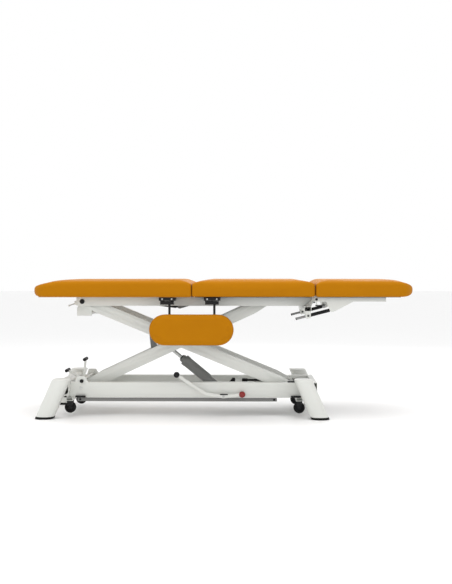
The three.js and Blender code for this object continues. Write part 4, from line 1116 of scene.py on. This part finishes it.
for name, plan in plans.items():
    mesh = extrudeOutline(plan["outline"], -halfWidth, halfWidth)
    bevelCaps(mesh, (-halfWidth, halfWidth), cushion["edge"])
    held = plan["bottom"] + cushion["pinHeight"]
    piece = makePad(
        name,
        mesh,
        cushion,
        plan["body"],
        lambda co: co.z < held or min(abs(co.x - backJoint), abs(co.x - legJoint)) < cushion["pinReach"],
        (plan["low"], plan["high"]),
        plan["ends"],
    )
    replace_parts(piece, *plan["nodes"])
    joint, anchor, keep = squashes[name]
    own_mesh(piece)
print("cushions made")

# liners under the seat and leg section, and dark red-brown strips in the joints as painted shade between the
# cushions

linerLook = {"inset": 0.016, "endInset": 0.075, "half": 0.298, "edge": 0.0006}
liners = {
    "seatLiner": (backJoint + linerLook["inset"], legJoint - linerLook["inset"], "top_frame"),
    "legLiner": (legJoint + linerLook["inset"], legHigh.x - linerLook["endInset"], "leg_section"),
}
for name, (x0, x1, body) in liners.items():
    mesh = bmesh.new()
    low = (x0, -linerLook["half"], seatLow.z + 0.0001)
    addBlock(mesh, low, (x1, linerLook["half"], linerTop - 0.0002), linerLook["edge"], 1)
    finishPiece(name, mesh, "black_plastic", body)

strip = {"half": 0.0005, "endInset": 0.012, "rise": 0.031, "topGap": 0.002, "edge": 0.0002}
stripY = halfWidth - strip["endInset"]
stripTop = cushionTop - cushion["notchDepth"] - strip["topGap"]
# painted shade: each dark strip stands in for the shade in the joint between the touching cushions
for name, joint in (("backJointStrip", backJoint), ("legJointStrip", legJoint)):
    mesh = bmesh.new()
    low = (joint - strip["half"], -stripY, linerTop + strip["rise"])
    addBlock(mesh, low, (joint + strip["half"], stripY, stripTop), strip["edge"], 1)
    finishPiece(name, mesh, "seam_thread", "top_frame")

# armrest pad

padSettings = {"voxel": 0.005, "cap": 0.005, "fill": 0.85, "edge": 0.013, "plan": 0.0, "half": 0.0}
padShape = {
    "rim": 0.0025, "front": 0.0035, "back": 0.0024, "backEdge": 0.004, "board": 0.014, "boardEdge": 0.0008,
}


def oblong(reach, radius, steps):
    # two half circles, centred the reach inside the ends, seen from the front
    left = arcPoints(padLow.x + reach, padMiddle, radius, radius, 90, 270, steps)
    return left + arcPoints(padHigh.x - reach, padMiddle, radius, radius, -90, 90, steps)


padRadius = (padHigh.z - padLow.z) / 2 - padShape["rim"]
padFront, padBack = padLow.y + padShape["front"], padHigh.y - padShape["back"]
mesh = extrudeOutline(oblong(padRadius + padShape["rim"], padRadius, 18), padBack, padFront)
bevelCaps(mesh, (padFront,), padSettings["edge"])
bevelCaps(mesh, (padBack,), padShape["backEdge"], 3)
armrestPad = makePad(
    "armrestCushion",
    mesh,
    padSettings,
    "armrest",
    lambda co: co.y > padBack - padShape["backEdge"],
    ((padLow.x, padLow.y, padLow.z), (padHigh.x, padBack, padHigh.z)),
)
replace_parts(armrestPad, "armrest_pad")
boardOutline = oblong(padRadius, padRadius - padShape["board"], 16)
mesh = extrudeOutline(boardOutline, padBack + 0.0001, padHigh.y)
bevelCaps(mesh, (padHigh.y,), padShape["boardEdge"], 2)
finishPiece("armrestBackboard", mesh, "black_plastic", "armrest")
print("armrest pad made")

# floor, light and sky

floorMesh = bmesh.new()
bmesh.ops.create_grid(floorMesh, x_segments=2, y_segments=2, size=30.0)
floorData = bpy.data.meshes.new("floor")
floorMesh.to_mesh(floorData)
floorMesh.free()
floorLook = {
    "colour": (0.93, 0.93, 0.93), "dark": (0.90, 0.90, 0.90), "amount": 0.3, "roughness": 0.55,
    "spread": 0.05,
}
floorMaterial, floorTree, floorShader, floorMottle = startFinish("paleFloor", floorLook)
floorTree.links.new(floorMottle.outputs["Colour"], floorShader.inputs["Base Color"])
floorData.materials.append(floorMaterial)
floor = bpy.data.objects.new("floor", floorData)
scene.collection.objects.link(floor)


def addArea(name, place, target, size, power):
    light = bpy.data.lights.new(name, "AREA")
    light.shape = "RECTANGLE"
    light.size, light.size_y = size
    light.energy = power
    holder = bpy.data.objects.new(name, light)
    holder.location = place
    holder.rotation_euler = (Vector(target) - Vector(place)).to_track_quat("-Z", "Y").to_euler()
    scene.collection.objects.link(holder)


addArea("overheadSoftbox", (0.0, -0.4, 3.4), (0, 0, 0.4), (3.6, 2.4), 58)
addArea("frontSoftbox", (-1.4, -4.2, 2.2), (0, 0, 0.5), (2.6, 1.8), 8)
addArea("rearSoftbox", (1.0, 3.6, 2.4), (0, 0, 0.4), (2.6, 1.6), 22)
world = bpy.data.worlds.new("studioSky")
world.use_nodes = True
world.node_tree.nodes["Background"].inputs["Color"].default_value = (1, 1, 1, 1)
world.node_tree.nodes["Background"].inputs["Strength"].default_value = 1.0
scene.world = world
scene.view_settings.view_transform = "Standard"
print("stage set")
